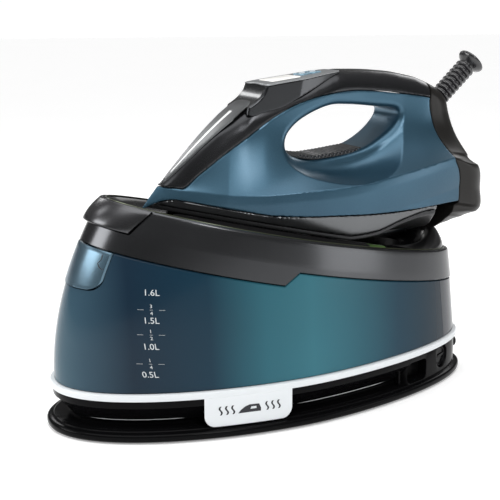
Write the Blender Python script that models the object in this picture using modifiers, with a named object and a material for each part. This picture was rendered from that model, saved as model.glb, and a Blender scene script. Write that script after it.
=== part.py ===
"""Steam generator iron: a pressurised steam station with its lift-off iron.

Metres, +Z up.  The pointed front of the station faces -X, +Y is its left
side.  The iron rests nose-up in the cradle, so its pieces are built in a
tilted frame whose x runs rearwards along the soleplate and whose z is normal
to it.  Everything hangs from one frame empty that puts the origin at the
bottom centre of the whole object's box.
"""
import math

import bmesh
import bpy
from mathutils import Matrix, Vector

for old in list(bpy.data.objects):
    bpy.data.objects.remove(old, do_unlink=True)

# ---------------------------------------------------------------- dimensions
GAP = 0.0003            # clearance between neighbouring pieces
SHIFT_X = -0.0092       # centres the object's box on the origin
PLAN_N = 1.72           # plan exponent along X, below 2 gives pointed ends
PLAN_M = 2.13           # plan exponent along Y
PLAN_EGG = -0.08        # narrows the rear slightly
DECK_Z = 0.0380         # top of the plinth trim, underside of the body
FLANGE = 0.0052         # how far the foot flange stands outside the body
STRIP_LOW = 0.0328
PLINTH_TOP = 0.0325
TANK_DEPTH = 0.024      # thickness of the water jacket
TANK_WALL = 0.0022
TANK_END = math.radians(32.5)
BAND_T = 0.0045         # thickness of the rim band
TILT = math.atan(0.205)  # nose-up angle of the resting iron
IRON_Z = 0.147
DOOR_HALF = 0.031
DOOR_LOW = 0.1152
DOOR_AXIS = (-0.1588, 0.0, 0.1462)
HOOD_AXIS = (-0.1120, 0.0, 0.1680)
KNOB_R = 0.0094

# ---------------------------------------------------------------- materials


def material(name, colour, rough, metal=0.0, alpha=1.0):
    mat = bpy.data.materials.new(name)
    mat.use_nodes = True
    bsdf = mat.node_tree.nodes["Principled BSDF"]
    bsdf.inputs["Base Color"].default_value = (*colour, 1.0)
    bsdf.inputs["Roughness"].default_value = rough
    bsdf.inputs["Metallic"].default_value = metal
    bsdf.inputs["Alpha"].default_value = alpha
    mat.diffuse_color = (*colour, 1.0)
    return mat


GLOSS_BLACK = material("gloss_black", (0.012, 0.012, 0.013), 0.18)
MATT_BLACK = material("matt_black", (0.02, 0.02, 0.021), 0.55)
GREY_BAND = material("grey_band", (0.07, 0.07, 0.075), 0.25, 0.4)
WHITE = material("white_trim", (0.85, 0.88, 0.9), 0.35)
TANK_TEAL = material("tank_teal", (0.03, 0.12, 0.16), 0.12)
NAVY = material("navy_shell", (0.015, 0.03, 0.05), 0.2)
BLUE = material("metallic_blue", (0.05, 0.16, 0.27), 0.28, 0.6)
SILVER = material("silver_grey", (0.42, 0.43, 0.44), 0.35, 0.7)
PEARL = material("pearl_window", (0.8, 0.8, 0.78), 0.2)
ICE = material("ice_button", (0.5, 0.62, 0.7), 0.25)
STEEL = material("stainless", (0.6, 0.6, 0.6), 0.25, 1.0)
GUNMETAL = material("gunmetal", (0.2, 0.2, 0.21), 0.3, 0.8)
ALU = material("cast_aluminium", (0.5, 0.5, 0.51), 0.5, 1.0)
RUBBER = material("rubber", (0.015, 0.015, 0.015), 0.7)
GREEN_PAD = material("green_silicone", (0.12, 0.2, 0.06), 0.6)
COPPER = material("copper", (0.72, 0.38, 0.2), 0.3, 1.0)
PCB_GREEN = material("circuit_board", (0.03, 0.22, 0.1), 0.5)
SILICONE = material("white_silicone", (0.75, 0.75, 0.72), 0.5)

parts = bpy.data.collections.new("steam_generator_iron")
bpy.context.scene.collection.children.link(parts)
cutters = bpy.data.collections.new("cutters")
bpy.context.scene.collection.children.link(cutters)


def empty(name, location=(0, 0, 0), rotation=(0, 0, 0), parent=None):
    obj = bpy.data.objects.new(name, None)
    obj.location = location
    obj.rotation_euler = rotation
    obj.parent = parent
    parts.objects.link(obj)
    return obj


frame = empty("frame", (SHIFT_X, 0, 0))
iron = empty("iron_frame", (0, 0, IRON_Z), (0, TILT, 0), frame)

# ---------------------------------------------------------------- mesh tools


def add_mesh(name, bm, mat, parent=frame, origin=(0, 0, 0), smooth=False):
    """Turn a bmesh into a part whose origin sits on its joint's axis."""
    bmesh.ops.translate(bm, vec=-Vector(origin), verts=bm.verts)
    bmesh.ops.recalc_face_normals(bm, faces=bm.faces)
    for face in bm.faces:
        face.smooth = smooth
    mesh = bpy.data.meshes.new(name)
    bm.to_mesh(mesh)
    bm.free()
    obj = bpy.data.objects.new(name, mesh)
    obj.location = origin
    obj.parent = parent
    if mat is None:
        cutters.objects.link(obj)
        obj.hide_render = True
        obj.display_type = "WIRE"
    else:
        mesh.materials.append(mat)
        parts.objects.link(obj)
    return obj


def loft(rings, closed=False):
    """Skin a list of equal point rings; an open run gets end caps."""
    bm = bmesh.new()
    rows = [[bm.verts.new(p) for p in ring] for ring in rings]
    count = len(rows)
    for i in range(count if closed else count - 1):
        a = rows[i]
        b = rows[(i + 1) % count]
        for j in range(len(a)):
            k = (j + 1) % len(a)
            bm.faces.new((a[j], a[k], b[k], b[j]))
    if not closed:
        ends = [bm.faces.new(rows[0]), bm.faces.new(list(reversed(rows[-1])))]
        bmesh.ops.triangulate(bm, faces=ends)
    return bm


def box(size, centre):
    bm = bmesh.new()
    bmesh.ops.create_cube(bm, size=1.0)
    bmesh.ops.scale(bm, vec=size, verts=bm.verts)
    bmesh.ops.translate(bm, vec=centre, verts=bm.verts)
    return bm


def cylinder(radius, length, centre, axis=(0, 0, 1), segments=24, top=None):
    bm = bmesh.new()
    bmesh.ops.create_cone(bm, cap_ends=True, segments=segments, radius1=radius,
                          radius2=radius if top is None else top, depth=length)
    turn = Vector((0, 0, 1)).rotation_difference(Vector(axis)).to_matrix()
    bmesh.ops.rotate(bm, cent=(0, 0, 0), matrix=turn, verts=bm.verts)
    bmesh.ops.translate(bm, vec=centre, verts=bm.verts)
    return bm


def turned(profile, centre, axis=(0, 0, 1), segments=24):
    """Solid of revolution from (radius, height) pairs, first and last on axis."""
    rings = []
    for radius, height in profile:
        rings.append([(radius * math.cos(2 * math.pi * k / segments),
                       radius * math.sin(2 * math.pi * k / segments), height)
                      for k in range(segments)])
    bm = loft(rings)
    turn = Vector((0, 0, 1)).rotation_difference(Vector(axis)).to_matrix()
    bmesh.ops.rotate(bm, cent=(0, 0, 0), matrix=turn, verts=bm.verts)
    bmesh.ops.translate(bm, vec=centre, verts=bm.verts)
    return bm


def prism(outline, axis, low, high):
    """Extrude a 2D outline; axis 'x' reads it as (y, z), 'y' as (x, z), 'z' as (x, y)."""
    rings = []
    for level in (low, high):
        if axis == "x":
            rings.append([(level, p[0], p[1]) for p in outline])
        elif axis == "y":
            rings.append([(p[0], level, p[1]) for p in outline])
        else:
            rings.append([(p[0], p[1], level) for p in outline])
    return loft(rings)


def rounded(x0, x1, y0, y1, r, steps=5):
    pts = []
    for cx, cy, start in ((x1 - r, y1 - r, 0), (x0 + r, y1 - r, 90),
                          (x0 + r, y0 + r, 180), (x1 - r, y0 + r, 270)):
        for k in range(steps + 1):
            ang = math.radians(start + 90 * k / steps)
            pts.append((cx + r * math.cos(ang), cy + r * math.sin(ang)))
    return pts


def smooth_loop(points, per=4):
    """Closed Catmull-Rom curve through the given 2D points."""
    out = []
    n = len(points)
    for i in range(n):
        p0, p1, p2, p3 = (points[(i + d) % n] for d in (-1, 0, 1, 2))
        for k in range(per):
            t = k / per
            out.append(tuple(0.5 * (2 * p1[a] + (p2[a] - p0[a]) * t
                                    + (2 * p0[a] - 5 * p1[a] + 4 * p2[a] - p3[a]) * t * t
                                    + (3 * p1[a] - p0[a] - 3 * p2[a] + p3[a]) * t ** 3)
                             for a in (0, 1)))
    return out


def combine(obj, tool, operation="DIFFERENCE"):
    mod = obj.modifiers.new(operation.lower(), "BOOLEAN")
    mod.operation = operation
    mod.solver = "EXACT"
    mod.object = tool
    return obj


def bevel(obj, width, segments=1, angle=35):
    mod = obj.modifiers.new("bevel", "BEVEL")
    mod.width = width
    mod.segments = segments
    mod.limit_method = "ANGLE"
    mod.angle_limit = math.radians(angle)
    return obj


def tube(name, points, radius, mat, parent=frame, resolution=2):
    """Round tube along a smooth path, closed at both ends."""
    curve = bpy.data.curves.new(name, "CURVE")
    curve.dimensions = "3D"
    curve.bevel_depth = radius
    curve.bevel_resolution = resolution
    curve.use_fill_caps = True
    curve.resolution_u = 5
    spline = curve.splines.new("BEZIER")
    spline.bezier_points.add(len(points) - 1)
    for bp, co in zip(spline.bezier_points, points):
        bp.co = co
        bp.handle_left_type = "AUTO"
        bp.handle_right_type = "AUTO"
    draft = bpy.data.objects.new(name + "_path", curve)
    parts.objects.link(draft)
    graph = bpy.context.evaluated_depsgraph_get()
    mesh = bpy.data.meshes.new_from_object(draft.evaluated_get(graph))
    bpy.data.objects.remove(draft, do_unlink=True)
    bm = bmesh.new()
    bm.from_mesh(mesh)
    bmesh.ops.remove_doubles(bm, verts=bm.verts, dist=1e-6)
    return add_mesh(name, bm, mat, parent, smooth=True)


# ---------------------------------------------------------------- body shape


def front_half(z):
    return 0.184 - 2.23 * max(z - 0.04, 0.0) ** 2


def rear_half(z):
    return 0.186 - 0.116 * max(z - 0.04, 0.0)


def side_half(z):
    return 0.079 - 0.10 * max(z - 0.04, 0.0)


def plan(t, z, off=0.0):
    """Point of the body's plan curve at angle t and height z, moved out by off."""
    c = math.cos(t)
    s = math.sin(t)
    a = (rear_half(z) if c > 0 else front_half(z)) + off
    x = a * math.copysign(abs(c) ** (2 / PLAN_N), c)
    y = (side_half(z) + off) * math.copysign(abs(s) ** (2 / PLAN_M), s)
    return x, y * (1 + PLAN_EGG * x / a)


def rim_z(x):
    return 0.1452 - 0.219 * x + 0.17 * x * x


def band_low_z(x):
    """Lower edge of the rim band: deep at the front, a slanted step, shallow behind."""
    blend = min(max((x + 0.0218) / 0.0133, 0.0), 1.0)
    return rim_z(x) - (0.0375 - 0.0117 * blend)


def follow(t, off, height):
    """Point on the body surface whose height is a function of its own x."""
    z = 0.13
    for _ in range(12):
        z = height(plan(t, z, off)[0])
    x, y = plan(t, z, off)
    return x, y, z


def span(start, stop, count):
    return [start + (stop - start) * i / count for i in range(count + 1)]


def around(count):
    return [2 * math.pi * i / count for i in range(count)]


BAND_STEP = [math.acos(-(abs(x) / 0.17) ** (PLAN_N / 2)) for x in (0.0218, 0.0085)]


def band_angles(count):
    """Even angles round the body plus the four at the band's slanted steps."""
    angles = set(around(count))
    for t in BAND_STEP:
        angles.add(t)
        angles.add(2 * math.pi - t)
    return sorted(angles)


# ---------------------------------------------------------------- station


def surface_frame(t, z):
    """Point and outward horizontal normal of the body surface."""
    x, y = plan(t, z)
    x1, y1 = plan(t + 0.01, z)
    x0, y0 = plan(t - 0.01, z)
    return Vector((x, y, z)), Vector((y1 - y0, x0 - x1, 0)).normalized()


knob_point, KNOB_DIR = surface_frame(math.radians(326), 0.0222)
KNOB_POS = knob_point - KNOB_DIR * 0.004
MAINS_BUSH = Vector((0.1800, 0.020, 0.0225))
HOSE_BUSH = Vector((0.1800, -0.012, 0.0225))


def ring_solid(name, profile, mat, angles, parent=frame, smooth=False):
    """Closed ring round the body from (offset, z) corners."""
    rings = [[(*plan(t, z, off), z) for off, z in profile] for t in angles]
    return add_mesh(name, loft(rings, closed=True), mat, parent, smooth=smooth)


# Plinth: foot flange, hose groove, pockets and the solid rear block.
levels = [(FLANGE, 0.0012), (FLANGE + 0.0015, 0.0027), (FLANGE + 0.0015, 0.0066),
          (0.0045, 0.0080), (0.0012, 0.0085), (0.0012, PLINTH_TOP)]
plinth = add_mesh("plinth", loft([[(*plan(t, z, off), z) for t in around(48)]
                                  for off, z in levels]), GLOSS_BLACK)
groove = loft([[(*plan(t, z, off), z) for off, z in
                ((0.02, 0.0090), (0.02, 0.0268), (0.0, 0.0268), (-0.0085, 0.0145),
                 (-0.013, 0.0132), (-0.013, 0.0090))]
               for t in span(math.radians(53.5), math.radians(306.5), 34)])
combine(plinth, add_mesh("groove_cut", groove, None))
for side in (-1, 1):
    near, far = sorted((side * 0.0435, side * 0.075))
    pocket = prism(rounded(0.1030, 0.1265, 0.0094, 0.0275, 0.0045), "y", near, far)
    combine(plinth, add_mesh("pocket_cut_%d" % (side + 1), pocket, None))
hollow = loft([[(*plan(t, 0.02, -0.026), z) for t in around(32)] for z in (-0.01, 0.0285)])
combine(plinth, add_mesh("plinth_hollow", hollow, None))
combine(plinth, add_mesh("knob_seat_cut", cylinder(KNOB_R + 0.0004, 0.020, KNOB_POS
                                                   + KNOB_DIR * 0.006, KNOB_DIR), None))
combine(plinth, add_mesh("mains_cut", cylinder(0.0064, 0.05, MAINS_BUSH, (1, 0, 0)), None))
combine(plinth, add_mesh("hose_cut", cylinder(0.0054, 0.05, HOSE_BUSH, (1, 0, 0)), None))

for i, (fx, fy) in enumerate(((-0.118, -0.046), (-0.118, 0.046), (0.118, -0.046), (0.118, 0.046))):
    add_mesh("foot_%d" % (i + 1), cylinder(0.0085, 0.0009, (fx, fy, 0.00045)), RUBBER)

# White trim strip with the blank label tab that hangs over the groove.
strip = ring_solid("trim_strip", [(-0.006, STRIP_LOW), (0.0032, STRIP_LOW),
                                  (0.0032, DECK_Z - 0.001), (0.0022, DECK_Z),
                                  (-0.006, DECK_Z)], WHITE, around(48))
TAB = (math.radians(237.6), math.radians(261.5))
TAB_R = 0.009
TAB_LENGTH = 0.076
rings = []
for s in (0.0, 0.010, 0.04, 0.118, 0.2, 0.35, 0.5, 0.65, 0.8, 0.882, 0.96, 0.990, 1.0):
    edge = min(s, 1 - s) * TAB_LENGTH
    low = 0.0094
    if edge < TAB_R:
        low += TAB_R - math.sqrt(TAB_R ** 2 - (TAB_R - edge) ** 2)
    t = TAB[0] + (TAB[1] - TAB[0]) * s
    rings.append([(*plan(t, z, off), z) for off, z in
                  ((0.0016, low), (0.0030, low), (0.0030, 0.0350), (0.0016, 0.0350))])
combine(strip, add_mesh("label_tab", loft(rings), None), "UNION")

# Descaling knob and the two rear bushings.
knob = add_mesh("descale_knob", cylinder(KNOB_R, 0.0060, KNOB_POS + KNOB_DIR * 0.0003, KNOB_DIR),
                GLOSS_BLACK, origin=tuple(KNOB_POS))
slot_side = Vector((0, 0, 1)).cross(KNOB_DIR)
slot = box((0.0022, 0.0150, 0.0030), (0, 0, 0))
turn = Matrix((KNOB_DIR, slot_side, Vector((0, 0, 1)))).transposed()
bmesh.ops.rotate(slot, cent=(0, 0, 0), matrix=turn, verts=slot.verts)
bmesh.ops.translate(slot, vec=KNOB_POS + KNOB_DIR * 0.0030, verts=slot.verts)
combine(knob, add_mesh("knob_slot", slot, None))
for name, centre, r in (("mains_bushing", MAINS_BUSH, 0.0060), ("hose_bushing", HOSE_BUSH, 0.0050)):
    bush = turned([(r, -0.014), (r, 0.0052), (r - 0.0012, 0.0066)], centre, (1, 0, 0), 20)
    bushing = add_mesh(name, bush, RUBBER)
    combine(bushing, add_mesh(name + "_bore", cylinder(r * 0.5, 0.05, centre, (1, 0, 0), 12), None))

# Water tank: a hollow jacket round the front and both sides.
TANK_LOW = DECK_Z + GAP


def tank_section(t, off_out, off_in, low, top_gap):
    def top(off):
        return follow(t, off, lambda x: band_low_z(x) - top_gap)
    outer = [(*plan(t, z, off_out), z) for z in (low, 0.062, 0.084)]
    outer += [(*plan(t, z, off_out), z) for z in
              [0.084 + (top(off_out)[2] - 0.084) * k / 2 for k in (1,)]]
    outer.append(top(off_out))
    inner = [top(off_in), (*plan(t, 0.062, off_in), 0.062), (*plan(t, low, off_in), low)]
    return outer + inner


tank_angles = ([TANK_END] + [t for t in band_angles(48)
                            if TANK_END + 0.02 < t < 2 * math.pi - TANK_END - 0.02]
               + [2 * math.pi - TANK_END])
tank = add_mesh("water_tank", loft([tank_section(t, 0.0, -TANK_DEPTH, TANK_LOW, 0.0006)
                                    for t in tank_angles]), TANK_TEAL)
inside = [t for t in tank_angles if TANK_END + 0.03 < t < 2 * math.pi - TANK_END - 0.03]
cavity = loft([tank_section(t, -TANK_WALL, TANK_WALL - TANK_DEPTH, TANK_LOW + TANK_WALL,
                            0.0006 + TANK_WALL) for t in inside])
combine(tank, add_mesh("tank_cavity", cavity, None))


def door_outline(half, low, high):
    pts = [(half, high), (-half, high)]
    r = 0.008
    for cy, start in ((-half + r, 180), (half - r, 270)):
        for k in range(6):
            ang = math.radians(start + 18 * k)
            pts.append((cy + r * math.cos(ang), low + r + r * math.sin(ang)))
    return pts


hole = prism(door_outline(DOOR_HALF + 0.0008, DOOR_LOW - 0.0010, 0.16), "x", -0.19, -0.1410)
trim = add_mesh("door_hole", hole, None)
# The hole must pass the outer wall only, so it is limited to a shell layer.
layer = loft([tank_section(t, 0.004, -0.0060, 0.10, -0.004) for t in
              span(math.radians(148), math.radians(212), 10)])
combine(trim, add_mesh("door_layer", layer, None), "INTERSECT")
combine(tank, trim)

blank = loft([tank_section(t, 0.0, -TANK_WALL, 0.105, 0.0008) for t in
              span(math.radians(148), math.radians(212), 10)])
door = add_mesh("fill_door", blank, BLUE, origin=DOOR_AXIS)
combine(door, add_mesh("door_shape", prism(door_outline(DOOR_HALF, DOOR_LOW, 0.16), "x",
                                           -0.19, -0.1300), None), "INTERSECT")

# Rear housing closes the jacket's open side.
rear_end = TANK_END - 0.004
rear = add_mesh("rear_housing", loft([tank_section(t, 0.0, -0.003, TANK_LOW, 0.0006)
                                      for t in span(-rear_end, rear_end, 12)]), NAVY)

# Chassis wall that separates the jacket from the steam plant.
ring_solid("chassis", [(-0.0305, PLINTH_TOP + GAP), (-0.0280, PLINTH_TOP + GAP), (-0.0280, 0.0920),
                       (-0.0305, 0.0920)], MATT_BLACK, around(36))


def band_point(t, off, drop):
    return follow(t, off, lambda x: rim_z(x) - drop)


HOOD_LOW = math.radians(28.0)
HOOD_TOP = math.radians(34.0)


def band_section(t):
    """Rim band corners; the outside is let in where the lock hood lies."""
    away = abs(t - math.pi)
    low = -0.0028 if away < HOOD_TOP else 0.0006
    top = -0.0028 if away < HOOD_TOP else -0.0001
    return [follow(t, 0.0006, band_low_z), band_point(t, 0.0006, 0.0216),
            band_point(t, low, 0.0213), band_point(t, top, 0.0008),
            band_point(t, min(top, -0.0006) - 0.0006, 0.0),
            band_point(t, -BAND_T, 0.0006), band_point(t, -BAND_T, 0.0080),
            follow(t, -BAND_T, band_low_z)]


band_t = set(band_angles(48))
for side in (-1, 1):
    band_t.update((math.pi + side * (HOOD_TOP - 0.004), math.pi + side * (HOOD_TOP + 0.004)))
add_mesh("rim_band", loft([band_section(t) for t in sorted(band_t)], closed=True), GREY_BAND)

rings = []
for i in range(17):
    s = -1 + i / 8
    lip = 0.0012 + 0.0050 * (1 - s * s)
    low_t = math.pi + s * (HOOD_LOW - 0.012)
    top_t = math.pi + s * (HOOD_TOP - 0.012)
    mid_t = 0.75 * low_t + 0.25 * top_t
    rings.append([band_point(low_t, -0.0022, 0.0206), band_point(low_t, lip, 0.0206),
                  band_point(mid_t, lip, 0.0165), band_point(top_t, 0.0010, 0.0016),
                  band_point(top_t, -0.0022, 0.0012)])
add_mesh("lock_hood", loft(rings), GLOSS_BLACK, origin=HOOD_AXIS)

# Cradle tray with the raised heel stop.
FLOOR_V = -0.0087


def floor_z(x):
    return IRON_Z - math.tan(TILT) * x + FLOOR_V / math.cos(TILT)


tray_t = around(48)
inset = BAND_T + GAP
tray_rings = [[follow(t, -0.0165, lambda x: floor_z(x) - 0.0026) for t in tray_t],
              [band_point(t, -inset, 0.0068) for t in tray_t],
              [band_point(t, -inset, 0.0012) for t in tray_t],
              [band_point(t, -0.0085, 0.0036) for t in tray_t],
              [follow(t, -0.0165, floor_z) for t in tray_t]]
tray = add_mesh("cradle_tray", loft(tray_rings), MATT_BLACK)
rings = []
for t in span(-math.radians(45), math.radians(45), 12):
    rise = 0.0180 * math.cos(2 * t) ** 2
    rings.append([band_point(t, -inset - 0.0001, 0.0040), band_point(t, -inset - 0.0001, -0.3 * rise),
                  band_point(t, -0.0085, -0.78 * rise), band_point(t, -0.0135, -rise),
                  band_point(t, -0.0185, -0.85 * rise), band_point(t, -0.0290, 0.0015),
                  band_point(t, -0.0290, 0.0085)])
combine(tray, add_mesh("heel_stop", loft(rings), None), "UNION")

cradle = empty("cradle_frame", (0, 0, IRON_Z), (0, TILT, 0), frame)
for i, (u, y, lu, ly, top) in enumerate(((-0.066, -0.011, 0.024, 0.008, -0.0004),
                                         (-0.066, 0.011, 0.024, 0.008, -0.0004),
                                         (0.035, -0.034, 0.024, 0.009, -0.0004),
                                         (0.035, 0.034, 0.024, 0.009, -0.0004),
                                         (0.083, -0.0385, 0.018, 0.008, -0.0022),
                                         (0.083, 0.0385, 0.018, 0.008, -0.0022))):
    low = FLOOR_V + GAP
    add_mesh("rest_pad_%d" % (i + 1), box((lu, ly, top - low), (u, y, (top + low) / 2)),
             GREEN_PAD if i > 3 else RUBBER, cradle)

# Steam plant inside the chassis.
boiler = turned([(0.012, -0.056), (0.024, -0.053), (0.030, -0.044), (0.030, 0.044),
                 (0.024, 0.053), (0.012, 0.056)], (0.036, 0, 0.0790), (1, 0, 0), 20)
add_mesh("boiler", boiler, STEEL)
for i, x in enumerate((0.005, 0.067)):
    add_mesh("boiler_foot_%d" % (i + 1), box((0.010, 0.034, 0.0156), (x, 0, 0.04095)), ALU)
add_mesh("steam_valve", box((0.020, 0.018, 0.026), (-0.0335, 0, 0.0790)), COPPER)
add_mesh("pump", cylinder(0.0150, 0.046, (-0.0850, 0, 0.0560), (1, 0, 0), 20), MATT_BLACK)
add_mesh("pump_cradle", box((0.036, 0.024, 0.0075), (-0.0850, 0, 0.03685)), ALU)
add_mesh("control_board", box((0.0016, 0.052, 0.046), (0.1120, 0, 0.0620)), PCB_GREEN)
tube("water_hose", [(-0.0615, 0, 0.0560), (-0.0540, 0, 0.0570), (-0.0500, 0, 0.0680),
                    (-0.0480, 0, 0.0790)], 0.0030, SILICONE)

# ---------------------------------------------------------------- iron


def curve(points):
    """Piecewise linear function through a few profile points."""
    def value(u):
        if u <= points[0][0]:
            return points[0][1]
        for (u0, v0), (u1, v1) in zip(points, points[1:]):
            if u <= u1:
                return v0 + (v1 - v0) * (u - u0) / (u1 - u0)
        return points[-1][1]
    return value


# Side profile of the iron, all in its own frame.
shell_low = curve(((-0.110, 0.0150), (-0.090, 0.0118), (-0.060, 0.0102), (-0.026, 0.0104),
                   (0.001, 0.0133), (0.0335, 0.0189), (0.070, 0.0251), (0.1555, 0.0445)))
crease = curve(((-0.1075, 0.0160), (-0.0928, 0.0178), (-0.054, 0.0207), (-0.0324, 0.0245),
                (-0.0027, 0.0324), (0.0373, 0.0430), (0.0813, 0.0590), (0.138, 0.0808)))
shell_top = curve(((-0.1075, 0.0176), (-0.104, 0.0184), (-0.0867, 0.0202), (-0.0758, 0.0348),
                   (-0.0591, 0.0544), (-0.0421, 0.0728), (-0.0243, 0.0920), (-0.0042, 0.1042),
                   (0.0224, 0.1143), (0.050, 0.1204), (0.0839, 0.1244), (0.118, 0.1265)))
cover_top = curve(((-0.103, 0.0195), (-0.098, 0.0242), (-0.085, 0.0450), (-0.075, 0.0610),
                   (-0.063, 0.0755), (-0.050, 0.0880), (-0.041, 0.0890), (-0.035, 0.0915),
                   (-0.020, 0.0980), (-0.004, 0.1095), (0.012, 0.1200), (0.024, 0.1280),
                   (0.031, 0.1332), (0.045, 0.1360), (0.069, 0.1400), (0.100, 0.1420),
                   (0.118, 0.1400)))
plate_top = curve(((-0.0985, 0.0258), (-0.085, 0.0470), (-0.075, 0.0630), (-0.063, 0.0775),
                   (-0.0475, 0.0960), (-0.0430, 0.0985)))
pod_top = curve(((-0.0345, 0.1109), (-0.004, 0.1212), (0.021, 0.1296), (0.030, 0.1338)))
top_half = curve(((-0.1075, 0.0010), (-0.104, 0.0035), (-0.0867, 0.0110), (-0.078, 0.0135),
                  (-0.060, 0.0175), (-0.040, 0.0205), (-0.010, 0.0212), (0.050, 0.0200),
                  (0.090, 0.0215), (0.118, 0.0240)))
heel_front = curve(((0.0185, 0.1507), (0.0425, 0.1507), (0.0445, 0.1558), (0.0700, 0.1465),
                    (0.0785, 0.1390), (0.0890, 0.1345), (0.1080, 0.1245), (0.1265, 0.1185),
                    (0.1400, 0.1185)))
heel_rear = curve(((0.0185, 0.1600), (0.0250, 0.1730), (0.0310, 0.1850), (0.0390, 0.1955),
                   (0.0480, 0.1960), (0.0620, 0.1905), (0.0790, 0.1850), (0.0850, 0.1750),
                   (0.1020, 0.1590), (0.1170, 0.1490), (0.1280, 0.1430), (0.1380, 0.1340)))


def base_half(u):
    """Half width of the shell's lower edge: pointed nose, full waist, narrower heel."""
    s = min(max((u + 0.112) / 0.177, 0.0), 1.0)
    w = 0.056 * math.sin(math.pi / 2 * s) ** 0.85
    if u > 0.07:
        w -= 0.0105 * ((u - 0.07) / 0.085) ** 2
    return w


def fullness(u):
    """How fast the flank falls in above the crease: gentle at the nose, sharp at the saddle."""
    s = min(max((u + 0.055) / 0.065, 0.0), 1.0)
    return 1.15 + 2.2 * s * s * (3 - 2 * s)


SIDE_STEPS = (0.0, 0.06, 0.18, 0.36, 0.62, 0.86, 1.0)


def flank(u, lean):
    """Points up one side of the shell; lean slides the section back to the heel line."""
    u_low = u + lean * (0.1546 - 0.118)
    u_mid = u + lean * (0.1376 - 0.118)
    v_mid = crease(u_mid)
    v_top = shell_top(u)
    w_mid = base_half(u_mid) * 0.99
    w_top = min(top_half(u), w_mid)
    pts = [(u_low, base_half(u_low), shell_low(u_low))]
    for f in SIDE_STEPS:
        v = v_mid + (v_top - v_mid) * f
        uu = u_mid + (u - u_mid) * f
        if lean:
            uu += lean * (heel_front(v) - 0.0010 - (0.1376 + (0.118 - 0.1376) * f))
        pts.append((uu, w_top + (w_mid - w_top) * (1 - f) ** fullness(u), v))
    return pts


def both_sides(pts):
    return pts + [(u, -w, v) for u, w, v in reversed(pts)]


SHELL_U = (-0.1075, -0.104, -0.095, -0.0867, -0.0758, -0.0591, -0.0421, -0.0243, -0.0042,
           0.0100, 0.0224, 0.036, 0.050, 0.066, 0.0839, 0.094, 0.106, 0.118)
OPENING = ((-0.0083, 0.0649), (-0.003, 0.0595), (0.0057, 0.0575), (0.0180, 0.0580),
           (0.0338, 0.0619), (0.0530, 0.0680), (0.0700, 0.0739), (0.0830, 0.0840),
           (0.0920, 0.0960), (0.0945, 0.1060), (0.0880, 0.1120), (0.0680, 0.1101),
           (0.0450, 0.1075), (0.0258, 0.1031), (0.0047, 0.0900), (-0.0073, 0.0760))

rings = []
for u in SHELL_U:
    lean = max(0.0, (u - 0.088) / 0.030)
    rings.append([(p[0], p[1], p[2]) for p in both_sides(flank(u, lean))])
shell = add_mesh("iron_shell", loft(rings), BLUE, iron)
combine(shell, add_mesh("opening_cut", prism(smooth_loop(OPENING, 3), "y", -0.09, 0.09),
                        None, iron))
combine(shell, add_mesh("shell_pocket", prism(rounded(-0.052, 0.088, -0.019, 0.019, 0.006, 2),
                                              "z", 0.0, 0.0340), None, iron))

# Soleplate, rising in a boat-tail behind the waist, and the gunmetal skirt above it.
sole_v = curve(((0.050, 0.0), (0.070, 0.0010), (0.090, 0.0035), (0.120, 0.0090),
                (0.150, 0.0150)))
sole_half = curve(((0.060, 0.0506), (0.080, 0.0480), (0.100, 0.0425), (0.120, 0.0370),
                   (0.150, 0.0270)))


def sole_width(u):
    return max(base_half(u) - 0.0050, 0.0012) if u < 0.060 else sole_half(u)


rings = []
skirt_rings = []
for u in (-0.1060, -0.100, -0.090, -0.075, -0.055, -0.030, 0.0, 0.030, 0.060, 0.080, 0.100,
          0.120, 0.136, 0.1500):
    w = sole_width(u)
    v = sole_v(u)
    rings.append([(u, w - 0.0006, v), (u, w, v + 0.0012), (u, w, v + 0.0036),
                  (u, -w, v + 0.0036), (u, -w, v + 0.0012), (u, -w + 0.0006, v)])
    top = shell_low(u) - 0.0008
    wide = max(base_half(u) - 0.0022, w * 0.9)
    low = v + 0.0036 + GAP
    side = [(u, w * 0.97, low), (u, w + (wide - w) * 0.62, low + (top - low) * 0.5),
            (u, wide, top)]
    skirt_rings.append(side + [(u, -p[1], p[2]) for p in reversed(side)])
add_mesh("soleplate", loft(rings), STEEL, iron)
skirt = add_mesh("iron_skirt", loft(skirt_rings), GUNMETAL, iron)
combine(skirt, add_mesh("skirt_pocket", prism(rounded(-0.048, 0.084, -0.018, 0.018, 0.005, 2),
                                              "z", -0.01, 0.0600), None, iron))
heater = prism(((-0.0440, 0.0), (-0.030, 0.015), (0.078, 0.0155), (0.078, -0.0155),
                (-0.030, -0.015)), "z", 0.0, 0.0060)
bmesh.ops.translate(heater, vec=(0, 0, 0.0039 + 0.0036), verts=heater.verts)
add_mesh("steam_chamber", heater, ALU, iron)
add_mesh("thermal_fuse", cylinder(0.0032, 0.018, (0.050, 0.006, 0.0174), (1, 0, 0), 12),
         SILICONE, iron)
add_mesh("steam_inlet", cylinder(0.0035, 0.0150, (0.020, -0.006, 0.0216), (0, 0, 1), 14),
         COPPER, iron)

# Black top cover from the nose tip to the heel line.
rings = []
for u in (-0.1020, -0.098, -0.092, -0.0867, -0.0758, -0.067, -0.0591, -0.050, -0.0421,
          -0.035, -0.0243, -0.015, -0.0042, 0.012, 0.0224, 0.031, 0.040, 0.050, 0.066, 0.0839,
          0.100, 0.1178):
    low = shell_top(u) + GAP + 0.0001
    high = max(cover_top(u), low + 0.0012)
    w = min(top_half(u), base_half(u)) + 0.0003
    h = high - low
    side = [(u, w, low), (u, w, low + 0.30 * h), (u, w * 0.93, low + 0.62 * h),
            (u, w * 0.72, low + 0.88 * h), (u, w * 0.36, high)]
    rings.append(both_sides(side))
cover = add_mesh("top_cover", loft(rings), GLOSS_BLACK, iron)

# Silver nose plate let into the cover, with the light strip in its slot.


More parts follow.
